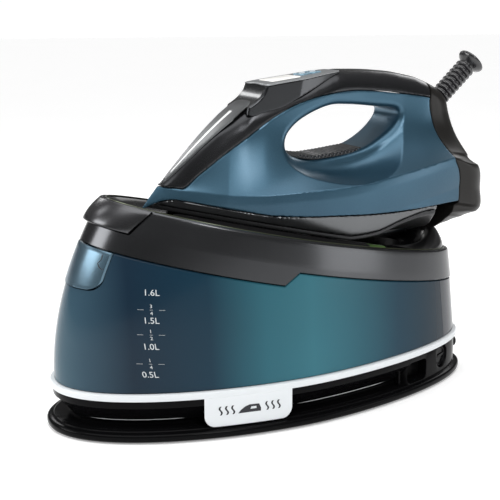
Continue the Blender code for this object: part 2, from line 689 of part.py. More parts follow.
def plate_half(u):
    return min(0.0022 + 0.0118 * ((u + 0.0985) / 0.046) ** 0.8, 0.0142 - 60 * max(u + 0.049, 0) ** 2)


rings = []
cut_rings = []
for i in range(12):
    u = -0.0985 + 0.0555 * i / 11
    w = plate_half(u)
    top = plate_top(u)
    rings.append([(u, w, top - 0.0022), (u, w, top - 0.0009), (u, w * 0.55, top),
                  (u, -w * 0.55, top), (u, -w, top - 0.0009), (u, -w, top - 0.0022)])
plate = add_mesh("nose_plate", loft(rings), SILVER, iron)
cut_rings = [[(p[0], p[1] * 1.0 + math.copysign(0.0004, p[1]), p[2] + (0.02 if k in (1, 2, 3, 4)
                                                                  else -0.0005))
              for k, p in enumerate(ring)] for ring in rings]
cut_rings = [[(2 * cut_rings[0][0][0] - cut_rings[1][0][0], p[1], p[2] - 0.0079)
              for p in cut_rings[0]]] + cut_rings + [
    [(p[0] + 0.0005, p[1], p[2]) for p in cut_rings[-1]]]
combine(cover, add_mesh("plate_seat", loft(cut_rings), None, iron))
slot_rings = []
strip_rings = []
for i in range(10):
    u = -0.0910 + 0.0400 * i / 9
    top = plate_top(u)
    w = 0.0007 + 0.0010 * (i / 9) ** 0.6
    slot_rings.append([(u, w + 0.0002, top - 0.01), (u, w + 0.0002, top + 0.01),
                       (u, -w - 0.0002, top + 0.01), (u, -w - 0.0002, top - 0.01)])
    uu = -0.0906 + 0.0392 * i / 9
    top = plate_top(uu)
    strip_rings.append([(uu, w, top - 0.0020), (uu, w, top + 0.0002), (uu, -w, top + 0.0002),
                        (uu, -w, top - 0.0020)])
combine(plate, add_mesh("strip_slot", loft(slot_rings), None, iron))
add_mesh("light_strip", loft(strip_rings), WHITE, iron)

# Control pod: raised bezel with the display window and two buttons.
rings = []
for u in (-0.0345, -0.033, -0.028, -0.018, -0.004, 0.010, 0.022, 0.0300):
    w = 0.0200 - 0.0075 * max(0.0, (u + 0.004) / 0.034)
    low = cover_top(u) + GAP + (0.0003 if u < 0.022 else 0.0002)
    high = max(pod_top(u), low + 0.0008)
    if u < -0.034:
        w -= 0.0025
    side = [(u, w, low), (u, w, low + 0.7 * (high - low)), (u, w * 0.86, high)]
    rings.append(both_sides(side))
pod = add_mesh("control_pod", loft(rings), SILVER, iron)
POD_PITCH = -math.atan2(0.1296 - 0.1212, 0.021 + 0.004)
POD_AT = (-0.004, 0.0, 0.1214)
combine(pod, add_mesh("window_seat", prism(rounded(-0.0240, 0.0030, -0.0133, 0.0133, 0.002, 3),
                                           "z", -0.0016, 0.01), None, iron))
combine(pod, add_mesh("button_seat", prism(rounded(0.0048, 0.0249, -0.0084, 0.0084, 0.002, 3),
                                           "z", -0.0046, 0.01), None, iron))
window = add_mesh("display_window", prism(rounded(-0.0237, 0.0027, -0.0130, 0.0130, 0.0018, 3),
                                          "z", -0.0013, 0.0002), PEARL, iron)
button_1 = add_mesh("button_steam", prism(rounded(0.0052, 0.0146, -0.0080, 0.0080, 0.002, 3),
                                          "z", -0.0022, 0.0010), ICE, iron)
button_2 = add_mesh("button_mode", prism(rounded(0.0152, 0.0245, -0.0080, 0.0080, 0.002, 3),
                                         "z", -0.0022, 0.0010), ICE, iron)
for name in ("window_seat", "button_seat", "display_window", "button_steam", "button_mode"):
    bpy.data.objects[name].location = POD_AT
    bpy.data.objects[name].rotation_euler = (0, POD_PITCH, 0)

# Heel cover, from the tail of the skirt up to the back of the handle.
rings = []
for v, w in ((0.0185, 0.0230), (0.0310, 0.0340), (0.0424, 0.0425), (0.0444, 0.0450),
             (0.0580, 0.0466), (0.0700, 0.0478), (0.0785, 0.0482), (0.0890, 0.0372),
             (0.1040, 0.0276), (0.1180, 0.0246), (0.1265, 0.0242), (0.1330, 0.0215),
             (0.1380, 0.0140)):
    front = heel_front(v)
    deep = heel_rear(v) - front
    side = [(front, w, v), (front + 0.55 * deep, w * 0.97, v), (front + 0.86 * deep, w * 0.82, v),
            (front + deep, w * 0.48, v)]
    rings.append(both_sides(side))
heel = add_mesh("heel_cover", loft(rings), MATT_BLACK, iron)
BOOT_AT = Vector((0.1400, 0.0, 0.1235))
BOOT_DIR = Vector((0.59, 0.0, 0.807)).normalized()
BOOT_R = 0.0086
socket = bmesh.new()
bmesh.ops.create_uvsphere(socket, u_segments=20, v_segments=12, radius=BOOT_R + 0.0006)
bmesh.ops.translate(socket, vec=BOOT_AT, verts=socket.verts)
combine(heel, add_mesh("boot_socket", socket, None, iron))
combine(heel, add_mesh("boot_mouth", cylinder(0.0088, 0.030, BOOT_AT + BOOT_DIR * 0.017, BOOT_DIR,
                                              20, 0.0190), None, iron))

# Ribbed strain relief boot on a ball that swivels in the heel.
profile = [(0.0012, -0.0085)]
for k in range(1, 6):
    ang = math.radians(-90 + 22 * k)
    profile.append((BOOT_R * math.cos(ang), BOOT_R * math.sin(ang)))
for k in range(7):
    z = 0.0060 + 0.0054 * k
    profile += [(0.0070, z), (0.0086, z + 0.0014), (0.0086, z + 0.0040)]
profile += [(0.0082, 0.0445), (0.0090, 0.0475), (0.0122, 0.0520), (0.0124, 0.0532),
            (0.0060, 0.0532), (0.0050, 0.0500)]
add_mesh("hose_boot", turned(profile, BOOT_AT, BOOT_DIR, 14), RUBBER, iron,
         origin=tuple(BOOT_AT))

# Ribbed thumb pad on the saddle under the handle.
low_edge = curve(((0.0, 0.0577), (0.018, 0.0580), (0.0338, 0.0619), (0.0530, 0.0680),
                  (0.0700, 0.0739), (0.076, 0.0778)))
RIBS = 15
under = [(0.004 + 0.066 * k / RIBS, low_edge(0.004 + 0.066 * k / RIBS) + 0.0008)
         for k in range(RIBS + 1)]
over = []
for k in range(2 * RIBS + 1):
    u = 0.004 + 0.066 * k / (2 * RIBS)
    over.append((u, low_edge(u) + (0.0034 if k % 2 else 0.0026)))
add_mesh("saddle_pad", prism(under + list(reversed(over)), "y", -0.0180, 0.0180), RUBBER, iron)
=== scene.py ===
"""Looks of the steam generator iron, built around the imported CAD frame.

The station stands lengthways on X with its front at -X. The iron has its own frame, pitched on
the station: u runs from the nose to the heel, y across, v up. Tables marked mm are in millimetres,
everything else is in metres.
"""
from math import atan, atan2, copysign, cos, pi, radians, sin, sqrt, tan

import bmesh
import bpy
import numpy as np
from mathutils import Matrix, Vector


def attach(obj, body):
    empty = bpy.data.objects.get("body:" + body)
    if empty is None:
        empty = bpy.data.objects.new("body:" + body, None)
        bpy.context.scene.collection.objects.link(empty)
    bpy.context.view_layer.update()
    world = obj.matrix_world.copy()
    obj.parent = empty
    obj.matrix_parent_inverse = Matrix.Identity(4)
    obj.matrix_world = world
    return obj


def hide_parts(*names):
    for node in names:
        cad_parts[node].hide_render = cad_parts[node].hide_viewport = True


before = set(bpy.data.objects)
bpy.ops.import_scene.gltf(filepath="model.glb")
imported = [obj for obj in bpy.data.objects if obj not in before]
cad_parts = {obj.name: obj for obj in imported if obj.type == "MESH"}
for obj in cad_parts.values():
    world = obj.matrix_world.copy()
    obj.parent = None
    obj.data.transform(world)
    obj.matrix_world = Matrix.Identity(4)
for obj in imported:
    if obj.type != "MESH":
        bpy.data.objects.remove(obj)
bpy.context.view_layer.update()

# ---------------------------------------------------------------- dimensions
MM = 0.001
TURN = 2 * pi
SEAM = 0.00025  # half the gap between the iron's pieces
GAP = 0.0003  # play round a piece let into another
SHIFT_X = -0.0092
TILT = atan(0.205)
IRON_Z = 0.147
FRAME_MOVE = Matrix.Translation((SHIFT_X, 0, 0))
IRON_MOVE = FRAME_MOVE @ Matrix.Translation((0, 0, IRON_Z)) @ Matrix.Rotation(TILT, 4, "Y")
# Plan of the station: exponents of its outline and how much narrower the rear is.
PLAN_N = 1.72
PLAN_M = 2.13
PLAN_EGG = -0.08
FLANGE = 0.0052
PLINTH_TOP = 0.0325
GROOVE = (radians(53.5), radians(306.5))
TAB = (radians(237.6), radians(261.5))
TAB_LOW = 0.0094
TAB_WIDTH = 0.076
TAB_MARK_Z = 0.0222
PRINT_T = 0.00012  # thickness of printed figures and marks
DECK_Z = 0.0383
TANK_END = radians(32.5)
TANK_DEPTH = 0.024
TANK_WALL = 0.0022
DOOR_HALF = 0.031
DOOR_LOW = 0.1152
BAND_T = 0.0045
BAND_GAP = 0.0006
HOOD_TOP = radians(34.0)
HOOD_LOW = radians(28.0)
FLOOR_V = -0.0087
KNOB_R = 0.0094
KNOB_ANGLE = radians(326)
KNOB_Z = 0.0222
BUSHINGS = (("mains_bushing", Vector((0.1800, 0.020, 0.0225)), 0.0060),
            ("hose_bushing", Vector((0.1800, -0.012, 0.0225)), 0.0050))
NEAR_FAR = (("near", -1), ("far", 1))

# ---------------------------------------------------------------- materials


def fill(tree, node, **values):
    """Set a node's inputs and properties by name; a value that is a socket is linked."""
    for key, value in values.items():
        name = key.replace("_", " ")
        if name not in node.inputs:
            setattr(node, key, value)
        elif isinstance(value, bpy.types.NodeSocket):
            tree.links.new(value, node.inputs[name])
        else:
            node.inputs[name].default_value = value
    return node


def add(tree, kind, **values):
    return fill(tree, tree.nodes.new("ShaderNode" + kind), **values)


def colour_ramp(tree, factor, stops):
    """Colour output of a ramp with (position, colour) stops."""
    node = add(tree, "ValToRGB", Fac=factor)
    elements = node.color_ramp.elements
    while len(elements) < len(stops):
        elements.new(0.5)
    for element, (place, colour) in zip(elements, stops):
        element.position = place
        element.color = (*colour, 1)
    return node.outputs["Color"]


class Surface:
    """A material with its node tree and the object coordinates its textures use."""

    def __init__(self, name, **values):
        self.mat = bpy.data.materials.new(name)
        self.mat.use_nodes = True
        self.tree = self.mat.node_tree
        self.spot = self.add("TexCoord").outputs["Object"]
        self.set(**values)

    def add(self, kind, **values):
        return add(self.tree, kind, **values)

    def set(self, **values):
        fill(self.tree, self.tree.nodes["Principled BSDF"], **values)
        return self.mat

    def noise(self, scale, detail, **values):
        node = self.add("TexNoise", Vector=self.spot, Scale=scale, Detail=detail, **values)
        return node.outputs["Fac"]

    def bump(self, height, strength, distance):
        node = self.add("Bump", Height=height, Strength=strength, Distance=distance)
        self.set(Normal=node.outputs["Normal"])


def plastic(name, colour, rough, metal=0.0, coat=0.0, grain=0.02, vary=0.06, bump=0.02,
            spec=0.25, painted_glow=0.0):
    """Moulded or lacquered surface: fine grain in the bump, slow drift in colour and gloss."""
    s = Surface(name, Metallic=metal, Coat_Weight=coat, Coat_Roughness=0.05,
                Specular_IOR_Level=spec)
    slow = s.noise(14.0, 3.0)
    tint = colour_ramp(s.tree, slow, ((0.3, [c * (1 - vary) for c in colour]),
                                      (0.7, [min(c * (1 + vary), 1) for c in colour])))
    gloss = s.add("MapRange", Value=slow, To_Min=max(rough - grain, 0.02), To_Max=rough + grain)
    # painted light: emission makes the surface shine though it is no lamp; the pearl window uses
    # it
    if painted_glow:
        s.set(Emission_Color=tint, Emission_Strength=painted_glow)
    if bump:
        s.bump(s.noise(900.0, 2.0), bump, 0.0002)
    return s.set(Base_Color=tint, Roughness=gloss.outputs["Result"])


def flake_paint(name, dark, light, rough):
    """Metallic lacquer: tiny bright flakes in a blue base under a clear coat."""
    s = Surface(name, Metallic=0.75, Roughness=rough, Coat_Weight=0.35, Coat_Roughness=0.24,
                Coat_IOR=1.5)
    flake = s.add("TexVoronoi", Vector=s.spot, Scale=2600.0).outputs["Distance"]
    mix = s.add("Math", operation="MULTIPLY_ADD")
    mix.inputs[1].default_value = 0.35
    s.tree.links.new(flake, mix.inputs[0])
    s.tree.links.new(s.noise(9.0, 2.0), mix.inputs[2])
    s.bump(flake, 0.03, 0.0001)
    tint = colour_ramp(s.tree, mix.outputs["Value"], ((0.35, dark), (0.95, light)))
    return s.set(Base_Color=tint)


def tank_with_painted_light(name):
    """Smoked teal wall with painted light: greener and paler amidships, navy at the ends."""
    s = Surface(name, Roughness=0.14, Coat_Weight=0.05, Coat_Roughness=0.05, IOR=1.45,
                Specular_IOR_Level=0.16)
    along = s.add("SeparateXYZ", Vector=s.spot).outputs["X"]
    place = s.add("MapRange", Value=along, From_Min=-0.20, From_Max=0.20)
    # painted light along X: the pale stops are a painted highlight and painted light through the
    # wall, the dark stops painted shade
    tint = colour_ramp(s.tree, place.outputs["Result"], (
        (0.0, (0.055, 0.115, 0.150)), (0.05, (0.036, 0.074, 0.105)),
        (0.13, (0.010, 0.024, 0.042)), (0.27, (0.008, 0.034, 0.058)),
        (0.38, (0.026, 0.118, 0.155)), (0.48, (0.036, 0.150, 0.190)),
        (0.57, (0.026, 0.110, 0.145)), (0.70, (0.010, 0.042, 0.068)),
        (0.85, (0.004, 0.014, 0.024)), (1.0, (0.003, 0.008, 0.014))))
    depth = s.add("MapRange", Value=s.noise(7.0, 3.0, Roughness=0.4), To_Min=0.75, To_Max=1.25)
    scaled = s.add("VectorMath", operation="SCALE", Vector=tint, Scale=depth.outputs["Result"])
    return s.set(Base_Color=scaled.outputs["Vector"])


MAT = {
    "blue": flake_paint("metallic_blue_lacquer", (0.017, 0.058, 0.098), (0.050, 0.126, 0.185),
                        0.36),
    "door": flake_paint("metallic_blue_door", (0.040, 0.085, 0.120), (0.11, 0.19, 0.25), 0.27),
    "tank": tank_with_painted_light("smoked_teal_tank_painted_light"),
}
for key, name, colour, rough, values in (
        ("navy", "navy_housing", (0.006, 0.012, 0.022), 0.16, {"coat": 0.10}),
        ("band", "charcoal_band", (0.070, 0.072, 0.076), 0.23, {"metal": 0.95, "coat": 0.03}),
        ("hood", "charcoal_hood", (0.085, 0.086, 0.090), 0.26, {"metal": 0.95, "coat": 0.03}),
        ("black", "gloss_black", (0.003, 0.003, 0.0034), 0.18, {"spec": 0.06}),
        ("cover", "cover_black", (0.042, 0.043, 0.046), 0.26, {"metal": 0.9, "coat": 0.05}),
        ("matt", "matt_black", (0.008, 0.008, 0.009), 0.42, {"grain": 0.06, "bump": 0.10}),
        ("heel", "charcoal_heel", (0.012, 0.011, 0.010), 0.36, {"grain": 0.05, "bump": 0.06}),
        ("white", "white_trim", (0.76, 0.79, 0.81), 0.32, {"coat": 0.1, "vary": 0.01}),
        ("silver", "silver_grey", (0.34, 0.35, 0.36), 0.34, {"metal": 0.6, "coat": 0.1}),
        ("light", "light_strip", (0.93, 0.94, 0.94), 0.20, {"vary": 0.01}),
        # the window's emission is painted light, not a lamp
        ("pearl", "pearl_window", (0.88, 0.87, 0.84), 0.20,
         {"coat": 0.3, "vary": 0.02, "painted_glow": 0.45}),
        ("ice", "icy_button", (0.30, 0.47, 0.58), 0.20, {"metal": 0.3, "coat": 0.4}),
        ("skirt", "gunmetal_skirt", (0.14, 0.145, 0.15), 0.30, {"metal": 0.95, "coat": 0.05}),
        ("sole", "coated_sole", (0.045, 0.046, 0.048), 0.36, {"metal": 0.8, "grain": 0.06}),
        ("rubber", "black_rubber", (0.012, 0.012, 0.013), 0.38, {"grain": 0.08, "bump": 0.15}),
        ("green", "green_silicone", (0.10, 0.20, 0.05), 0.45, {"grain": 0.08}),
        ("alu", "cast_aluminium", (0.45, 0.45, 0.46), 0.45, {"metal": 1.0, "bump": 0.3}),
        ("copper", "machined_brass", (0.60, 0.36, 0.18), 0.28, {"metal": 1.0}),
        ("board", "circuit_board", (0.02, 0.18, 0.07), 0.4, {}),
        ("silicone", "white_silicone", (0.70, 0.70, 0.67), 0.5, {}),
        ("ink", "white_ink", (0.58, 0.62, 0.64), 0.4, {"bump": 0.0, "vary": 0.01}),
        ("grey_ink", "dark_ink", (0.03, 0.03, 0.035), 0.4, {"bump": 0.0}),
        ("plate", "plate_grey", (0.13, 0.135, 0.14), 0.34, {"metal": 0.8, "coat": 0.1}),
        ("pod", "pod_gloss", (0.035, 0.037, 0.040), 0.18, {"metal": 0.8, "coat": 0.25}),
        ("pad", "pad_rubber", (0.045, 0.047, 0.050), 0.26,
         {"metal": 0.6, "coat": 0.3, "bump": 0.1}),
        ("boot", "boot_rubber", (0.016, 0.016, 0.018), 0.24,
         {"coat": 0.4, "bump": 0.1, "spec": 0.6}),
        # the bead's light grey is a painted highlight along the groove edge
        ("bead", "bead_grey_painted_highlight", (0.45, 0.46, 0.47), 0.25, {"metal": 0.6}),
        ("olive", "rim_olive", (0.085, 0.095, 0.060), 0.28, {"metal": 0.6, "coat": 0.1}),
        ("bowl", "bowl_black", (0.010, 0.010, 0.011), 0.28,
         {"coat": 0.3, "grain": 0.05, "bump": 0.06})):
    MAT[key] = plastic(name, colour, rough, **values)

# Pieces inside the closed housings keep their CAD shape.
HIDDEN = (("alu", ("boiler", "boiler_foot_1", "boiler_foot_2", "pump_cradle", "steam_chamber")),
          ("copper", ("steam_valve", "steam_inlet")), ("matt", ("pump", "chassis")),
          ("board", ("control_board",)), ("silicone", ("water_hose", "thermal_fuse")))

# ---------------------------------------------------------------- mesh tools


def linked(name, data):
    obj = bpy.data.objects.new(name, data)
    bpy.context.scene.collection.objects.link(obj)
    return obj


def dress(mesh, mat):
    mesh.materials.clear()
    mesh.materials.append(MAT[mat])


def piece(name, mesh, mat, slot, body="station", angle=32, move=FRAME_MOVE, stands_for=()):
    """Finish a mesh as a visible piece that rides on a body."""
    obj = linked(name, mesh)
    mesh.transform(move)
    mesh.update()
    dress(mesh, mat)
    for poly in mesh.polygons:
        poly.use_smooth = True
    mesh.set_sharp_from_angle(angle=radians(angle))
    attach(obj, body)
    for node in stands_for:
        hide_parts(node)


def skin(node, mesh, mat, slot, **rest):
    """A piece that stands for the CAD node of the same name."""
    piece(node + "_skin", mesh, mat, slot, stands_for=(node,), **rest)


def ring_mesh(rings, closed=False):
    """Quad skin over equal point rings, capped at both ends unless it closes on itself."""
    rows = len(rings)
    size = len(rings[0])
    faces = []
    for i in range(rows if closed else rows - 1):
        k = (i + 1) % rows
        for j in range(size):
            m = (j + 1) % size
            faces.append((i * size + j, i * size + m, k * size + m, k * size + j))
    if not closed:
        faces.append(tuple(range(size)))
        faces.append(tuple((rows - 1) * size + j for j in reversed(range(size))))
    mesh = bpy.data.meshes.new("rings")
    mesh.from_pydata([tuple(p) for ring in rings for p in ring], [], faces)
    bm = bmesh.new()
    bm.from_mesh(mesh)
    bmesh.ops.recalc_face_normals(bm, faces=bm.faces)
    bm.to_mesh(mesh)
    bm.free()
    return mesh


def baked(obj, *spare):
    """Mesh of an object with its modifiers applied; the drafts are removed."""
    graph = bpy.context.evaluated_depsgraph_get()
    mesh = bpy.data.meshes.new_from_object(obj.evaluated_get(graph))
    for draft in (obj, *spare):
        bpy.data.objects.remove(draft, do_unlink=True)
    return mesh


def with_modifier(mesh, kind, **values):
    obj = linked("draft", mesh)
    modifier = obj.modifiers.new("draft", kind)
    for key, value in values.items():
        setattr(modifier, key, value)
    return obj


def boolean(target, tool, operation="DIFFERENCE"):
    """Exact Boolean of two meshes."""
    other = linked("tool", tool)
    return baked(with_modifier(target, "BOOLEAN", solver="EXACT", operation=operation,
                               object=other), other)


def soften(mesh, width, segments=2, angle=35):
    """Round the sharp edges of a mesh."""
    return baked(with_modifier(mesh, "BEVEL", width=width, segments=segments,
                               limit_method="ANGLE", angle_limit=radians(angle),
                               use_clamp_overlap=True))


def prism_mesh(outline, axis, low, high):
    """Prism of a 2D outline along one axis."""
    at = "xyz".index(axis)
    return ring_mesh([[(*p[:at], level, *p[at:]) for p in outline] for level in (low, high)])


def turned_mesh(profile, segments=72):
    """Solid of revolution about local z from (radius, height) points, both ends on the axis."""
    turn = [TURN * k / segments for k in range(segments)]
    return ring_mesh([[(r * cos(t), r * sin(t), z) for t in turn] for r, z in profile])


def arc(cx, cy, r, start, stop, steps=4):
    angles = [radians(start + (stop - start) * k / steps) for k in range(steps + 1)]
    return [(cx + r * cos(a), cy + r * sin(a)) for a in angles]


def rounded(x0, x1, y0, y1, r):
    """Rectangle with rounded corners."""
    return (arc(x1 - r, y1 - r, r, 0, 90, 8) + arc(x0 + r, y1 - r, r, 90, 180, 8)
            + arc(x0 + r, y0 + r, r, 180, 270, 8) + arc(x1 - r, y0 + r, r, 270, 360, 8))


def circle(count):
    return np.linspace(0, TURN, count, endpoint=False)


def facing(point, normal):
    """Placement whose local z is the outward normal and local y points up."""
    z = Vector(normal).normalized()
    x = Vector((0, 0, 1)).cross(z).normalized()
    turn = Matrix((x, z.cross(x), z)).transposed().to_4x4()
    return Matrix.Translation(point) @ turn


def spline(*points, unit=MM):
    """Smooth shape-preserving curve (monotone cubic) through (mm, value in units) points."""
    xs, ys = np.array(points).T * [[MM], [unit]]
    h = np.diff(xs)
    d = np.diff(ys) / h
    m = np.zeros(len(xs))
    m[0], m[-1] = d[0], d[-1]
    for i in range(1, len(xs) - 1):
        if d[i - 1] * d[i] > 0:
            w1 = 2 * h[i] + h[i - 1]
            w2 = h[i] + 2 * h[i - 1]
            m[i] = (w1 + w2) / (w1 / d[i - 1] + w2 / d[i])

    def value(x):
        x = np.clip(x, xs[0], xs[-1])
        k = np.clip(np.searchsorted(xs, x) - 1, 0, len(h) - 1)
        t = (x - xs[k]) / h[k]
        return ((2 * t ** 3 - 3 * t ** 2 + 1) * ys[k] + (t ** 3 - 2 * t ** 2 + t) * h[k] * m[k]
                + (-2 * t ** 3 + 3 * t ** 2) * ys[k + 1] + (t ** 3 - t ** 2) * h[k] * m[k + 1])
    return value


# ---------------------------------------------------------------- implicit solids


def clip01(x):
    return np.clip(x, 0, 1)


def smax(a, b, r):
    """Smooth maximum: an intersection whose edge is rounded by about r."""
    h = clip01(0.5 + 0.5 * (a - b) / r)
    return b + (a - b) * h + r * h * (1 - h)


def meet(out, *parts):
    """Intersection of fields; each part comes with the rounding of its edge."""
    for part, r in parts:
        out = smax(out, part, r)
    return out


def span(u, low, high):
    """Field of a stretch of u, negative inside."""
    return np.maximum(u - high, low - u)


def loop_distance(points, u, v):
    """Signed distance to a closed 2D loop, negative inside."""
    u, v = np.broadcast_arrays(u, v)
    best = np.full(u.shape, 1e9)
    inside = np.zeros(u.shape, bool)
    for (ax, ay), (bx, by) in zip(points, points[1:] + points[:1]):
        dx, dy = bx - ax, by - ay
        t = clip01(((u - ax) * dx + (v - ay) * dy) / (dx * dx + dy * dy))
        best = np.minimum(best, np.hypot(u - ax - t * dx, v - ay - t * dy))
        with np.errstate(divide="ignore", invalid="ignore"):
            inside ^= ((ay > v) != (by > v)) & (u < ax + (v - ay) * dx / dy)
    return np.where(inside, -best, best)


def smooth_loop(points, per=6):
    """Closed curve through points given in mm."""
    points = np.array(points) * MM
    out = []
    for i in range(len(points)):
        a, b, c, d = (points[(i + k) % len(points)] for k in (-1, 0, 1, 2))
        for t in (k / per for k in range(per)):
            out.append(tuple(0.5 * (2 * b + (c - a) * t + (2 * a - 5 * b + 4 * c - d) * t * t
                                    + (3 * b - a - 3 * c + d) * t ** 3)))
    return out


def implicit_mesh(field, low, high, step):
    """Dual surface of field(x, y, z) = 0 on a regular grid, relaxed onto the true surface."""
    axes = [np.arange(a, b + step, step) for a, b in zip(low, high)]
    value = field(*np.meshgrid(*axes, indexing="ij", sparse=True))
    value = np.broadcast_to(value, [len(a) for a in axes]).astype(np.float32)
    cells = [s - 1 for s in value.shape]
    count = np.zeros(cells, np.int16)
    total = np.zeros(cells + [3], np.float32)
    quads = []
    for axis in range(3):
        # every grid edge along this axis that crosses the surface gives a point and a quad
        a, b = (value[tuple(part if k == axis else slice(None) for k in range(3))]
                for part in (slice(0, -1), slice(1, None)))
        flip = (a < 0) != (b < 0)
        index = np.argwhere(flip)
        a, b = a[flip], b[flip]
        point = index.astype(np.float32)
        point[:, axis] += a / (a - b)
        side, up = (np.eye(3, dtype=int)[k] for k in range(3) if k != axis)
        corners = [index - i * side - j * up for i, j in ((0, 0), (1, 0), (1, 1), (0, 1))]
        whole = np.ones(len(index), bool)
        for cell in corners:
            ok = np.all((cell >= 0) & (cell < cells), 1)
            whole &= ok
            at = tuple(cell[ok].T)
            np.add.at(count, at, 1)
            np.add.at(total, at, point[ok])
        forward = (a < 0) != (axis == 1)
        quads.append((np.stack(corners, 1)[whole], forward[whole]))
    used = count > 0
    number = np.full(cells, -1)
    number[used] = np.arange(used.sum())
    p = total[used] / count[used][:, None] * step + np.array(low, np.float32)
    p = p.astype(np.float64)
    faces = []
    for corners, forward in quads:
        ids = number[tuple(np.moveaxis(corners, -1, 0))]
        ids[~forward] = ids[~forward][:, ::-1]
        faces.append(ids)
    faces = np.concatenate(faces)
    eps = step * 0.25
    for _ in range(3):
        g = np.stack([(field(*(p + e).T) - field(*(p - e).T)) / (2 * eps)
                      for e in np.eye(3) * eps], 1)
        move = field(*p.T)[:, None] * g / np.maximum((g * g).sum(1), 0.05)[:, None]
        length = np.linalg.norm(move, axis=1, keepdims=True)
        p -= move * np.minimum(1, 0.6 * step / np.maximum(length, 1e-12))
    mesh = bpy.data.meshes.new("surface")
    mesh.vertices.add(len(p))
    mesh.vertices.foreach_set("co", p.ravel())
    mesh.loops.add(faces.size)
    mesh.loops.foreach_set("vertex_index", faces.ravel())
    mesh.polygons.add(len(faces))
    mesh.polygons.foreach_set("loop_start", np.arange(0, faces.size, 4))
    mesh.update(calc_edges=True)
    mesh.validate()
    return mesh


class Lookup:
    """A 2D field over the iron's side view, sampled once and read back bilinearly."""

    LOW = (-0.125, -0.004)
    HIGH = (0.205, 0.148)
    STEP = 0.0005

    def __init__(self, function):
        u, v = (np.arange(a, b + self.STEP, self.STEP) for a, b in zip(self.LOW, self.HIGH))
        self.table = function(u[:, None], v[None, :])

    def __call__(self, u, v):
        a, b = (np.clip((x - low) / self.STEP, 0, size - 1.001)
                for x, low, size in zip((u, v), self.LOW, self.table.shape))
        i, j = a.astype(int), b.astype(int)
        fa, fb = a - i, b - j
        t = self.table
        return ((1 - fa) * (1 - fb) * t[i, j] + fa * (1 - fb) * t[i + 1, j]
                + (1 - fa) * fb * t[i, j + 1] + fa * fb * t[i + 1, j + 1])


# ---------------------------------------------------------------- iron profile, tables in mm
shell_low = spline((-116, -4.2), (-112, -2.2), (-106, 2.5), (-98, 7.5), (-90, 9.8), (-80, 10.2),
                   (-60, 10.2), (-26, 10.4), (1, 13.3), (33.5, 18.9), (70, 25.1), (107, 33.1),
                   (147, 42.7), (175, 48))
crease = spline((-107.5, 16), (-92.8, 17.8), (-54, 20.7), (-32.4, 24.5), (-2.7, 32.4), (37.3, 43),
                (81.3, 59), (138, 80.8), (160, 89))
shell_top = spline((-107.5, 17.6), (-104, 18), (-86.7, 19), (-75.8, 31.5), (-59.1, 50.5),
                   (-42.1, 68), (-24.3, 85.5), (-4.2, 100), (22.4, 112.5), (50, 120.4),
                   (83.9, 124.4), (118, 126.5), (150, 127))
cover_top = spline((-112, 3), (-103, 17), (-98, 24), (-85, 42.5), (-75, 56.5), (-63, 72),
                   (-50, 87.2), (-44.5, 93), (-41.5, 95.2), (-35, 98.5), (-20, 104), (-4, 112),
                   (12, 122.5), (24, 130), (31, 133.2), (45, 136.2), (69, 140), (90, 141.8),
                   (105, 141.8), (118, 140.2), (135, 137.5))
pod_low = spline((-45, 87), (-40, 88.8), (-35, 91.5), (-20, 98), (-4, 109.5), (12, 120),
                 (24, 128), (34, 133.5))
pod_top = spline((-45, 107.4), (-34, 111.1), (-23, 115), (-4, 121.4), (10, 126.2), (21, 130),
                 (34, 134))
top_half = spline((-107.5, 1), (-104, 3.5), (-86.7, 10.5), (-78, 13.3), (-60, 17.5), (-40, 20.5),
                  (-10, 21.2), (50, 20), (90, 21.5), (118, 24), (150, 25))
heel_front = spline((10, 150.7), (40, 150.7), (44.5, 155.8), (60, 152), (70, 146.8),
                    (78.5, 139.5), (89, 134.5), (108, 124.5), (126.5, 118.5), (145, 118.5))
heel_rear = spline((10, 148), (18.5, 160), (25, 173), (31, 185), (38, 194.5), (44, 196.3),
                   (62, 191), (78, 185), (85, 175.5), (102, 159), (117, 149), (128, 143),
                   (138, 134), (145, 120))
sole_v = spline((-120, 0), (50, 0), (70, 1), (90, 3.5), (120, 9), (155, 16.5), (170, 21.5))
saddle = spline((-6, 61.2), (-3, 59.5), (5.7, 57.5), (18, 58), (33.8, 61.9), (53, 68), (70, 73.9),
                (80, 80))
nose_fullness = spline((-110, 1.1), (-60, 1.15), (-30, 1.7), (0, 3), (30, 3.6), (80, 3.2),
                       (110, 3.4), (160, 3.6), unit=1)
tail_rise = spline((50, 0), (75, 2.2), (100, 6.5), (125, 9.5), (160, 11), unit=1)
OPENING = smooth_loop(((-8.3, 64.9), (-3, 59.5), (5.7, 57.5), (18, 58), (33.8, 62.1), (53, 69),
                       (68.5, 76.8), (80.5, 86.8), (89, 97), (93, 106.8), (88, 111.9),
                       (68, 110.1), (45, 107.5), (25.8, 103.1), (4.7, 90), (-7.3, 76)))
SCOOP = smooth_loop(((-14, 66), (-8, 53), (5, 46), (20, 44), (36, 44.5), (52, 47.5), (66, 53),
                     (78, 60), (88, 69), (94.5, 82), (97, 96), (96, 106), (80, 106), (40, 100),
                     (5, 85), (-11, 74)))
opening_d = Lookup(lambda u, v: loop_distance(OPENING, u, v))
scoop_d = Lookup(lambda u, v: loop_distance(SCOOP, u, v))

BOOT_AT = (0.1400, 0.0, 0.1235)
BOOT_DIR = Vector((0.59, 0.0, 0.807)).normalized()
# The pod top's flat, its window and its two keys share one pitched local frame.
POD_PITCH = -atan2(0.0084, 0.025)
POD_AT = (-0.004, 0.0, 0.1214)
POD_MOVE = IRON_MOVE @ Matrix.Translation(POD_AT) @ Matrix.Rotation(POD_PITCH, 4, "Y")
WINDOW = (-0.0240, 0.0030, 0.0132)
KEYS = ((0.0052, 0.0146, 0.0080), (0.0152, 0.0245, 0.0080))

# Every field below takes y as its distance from the middle plane.


def slope(curve, u):
    return (curve(u + 0.0005) - curve(u - 0.0005)) / 0.001


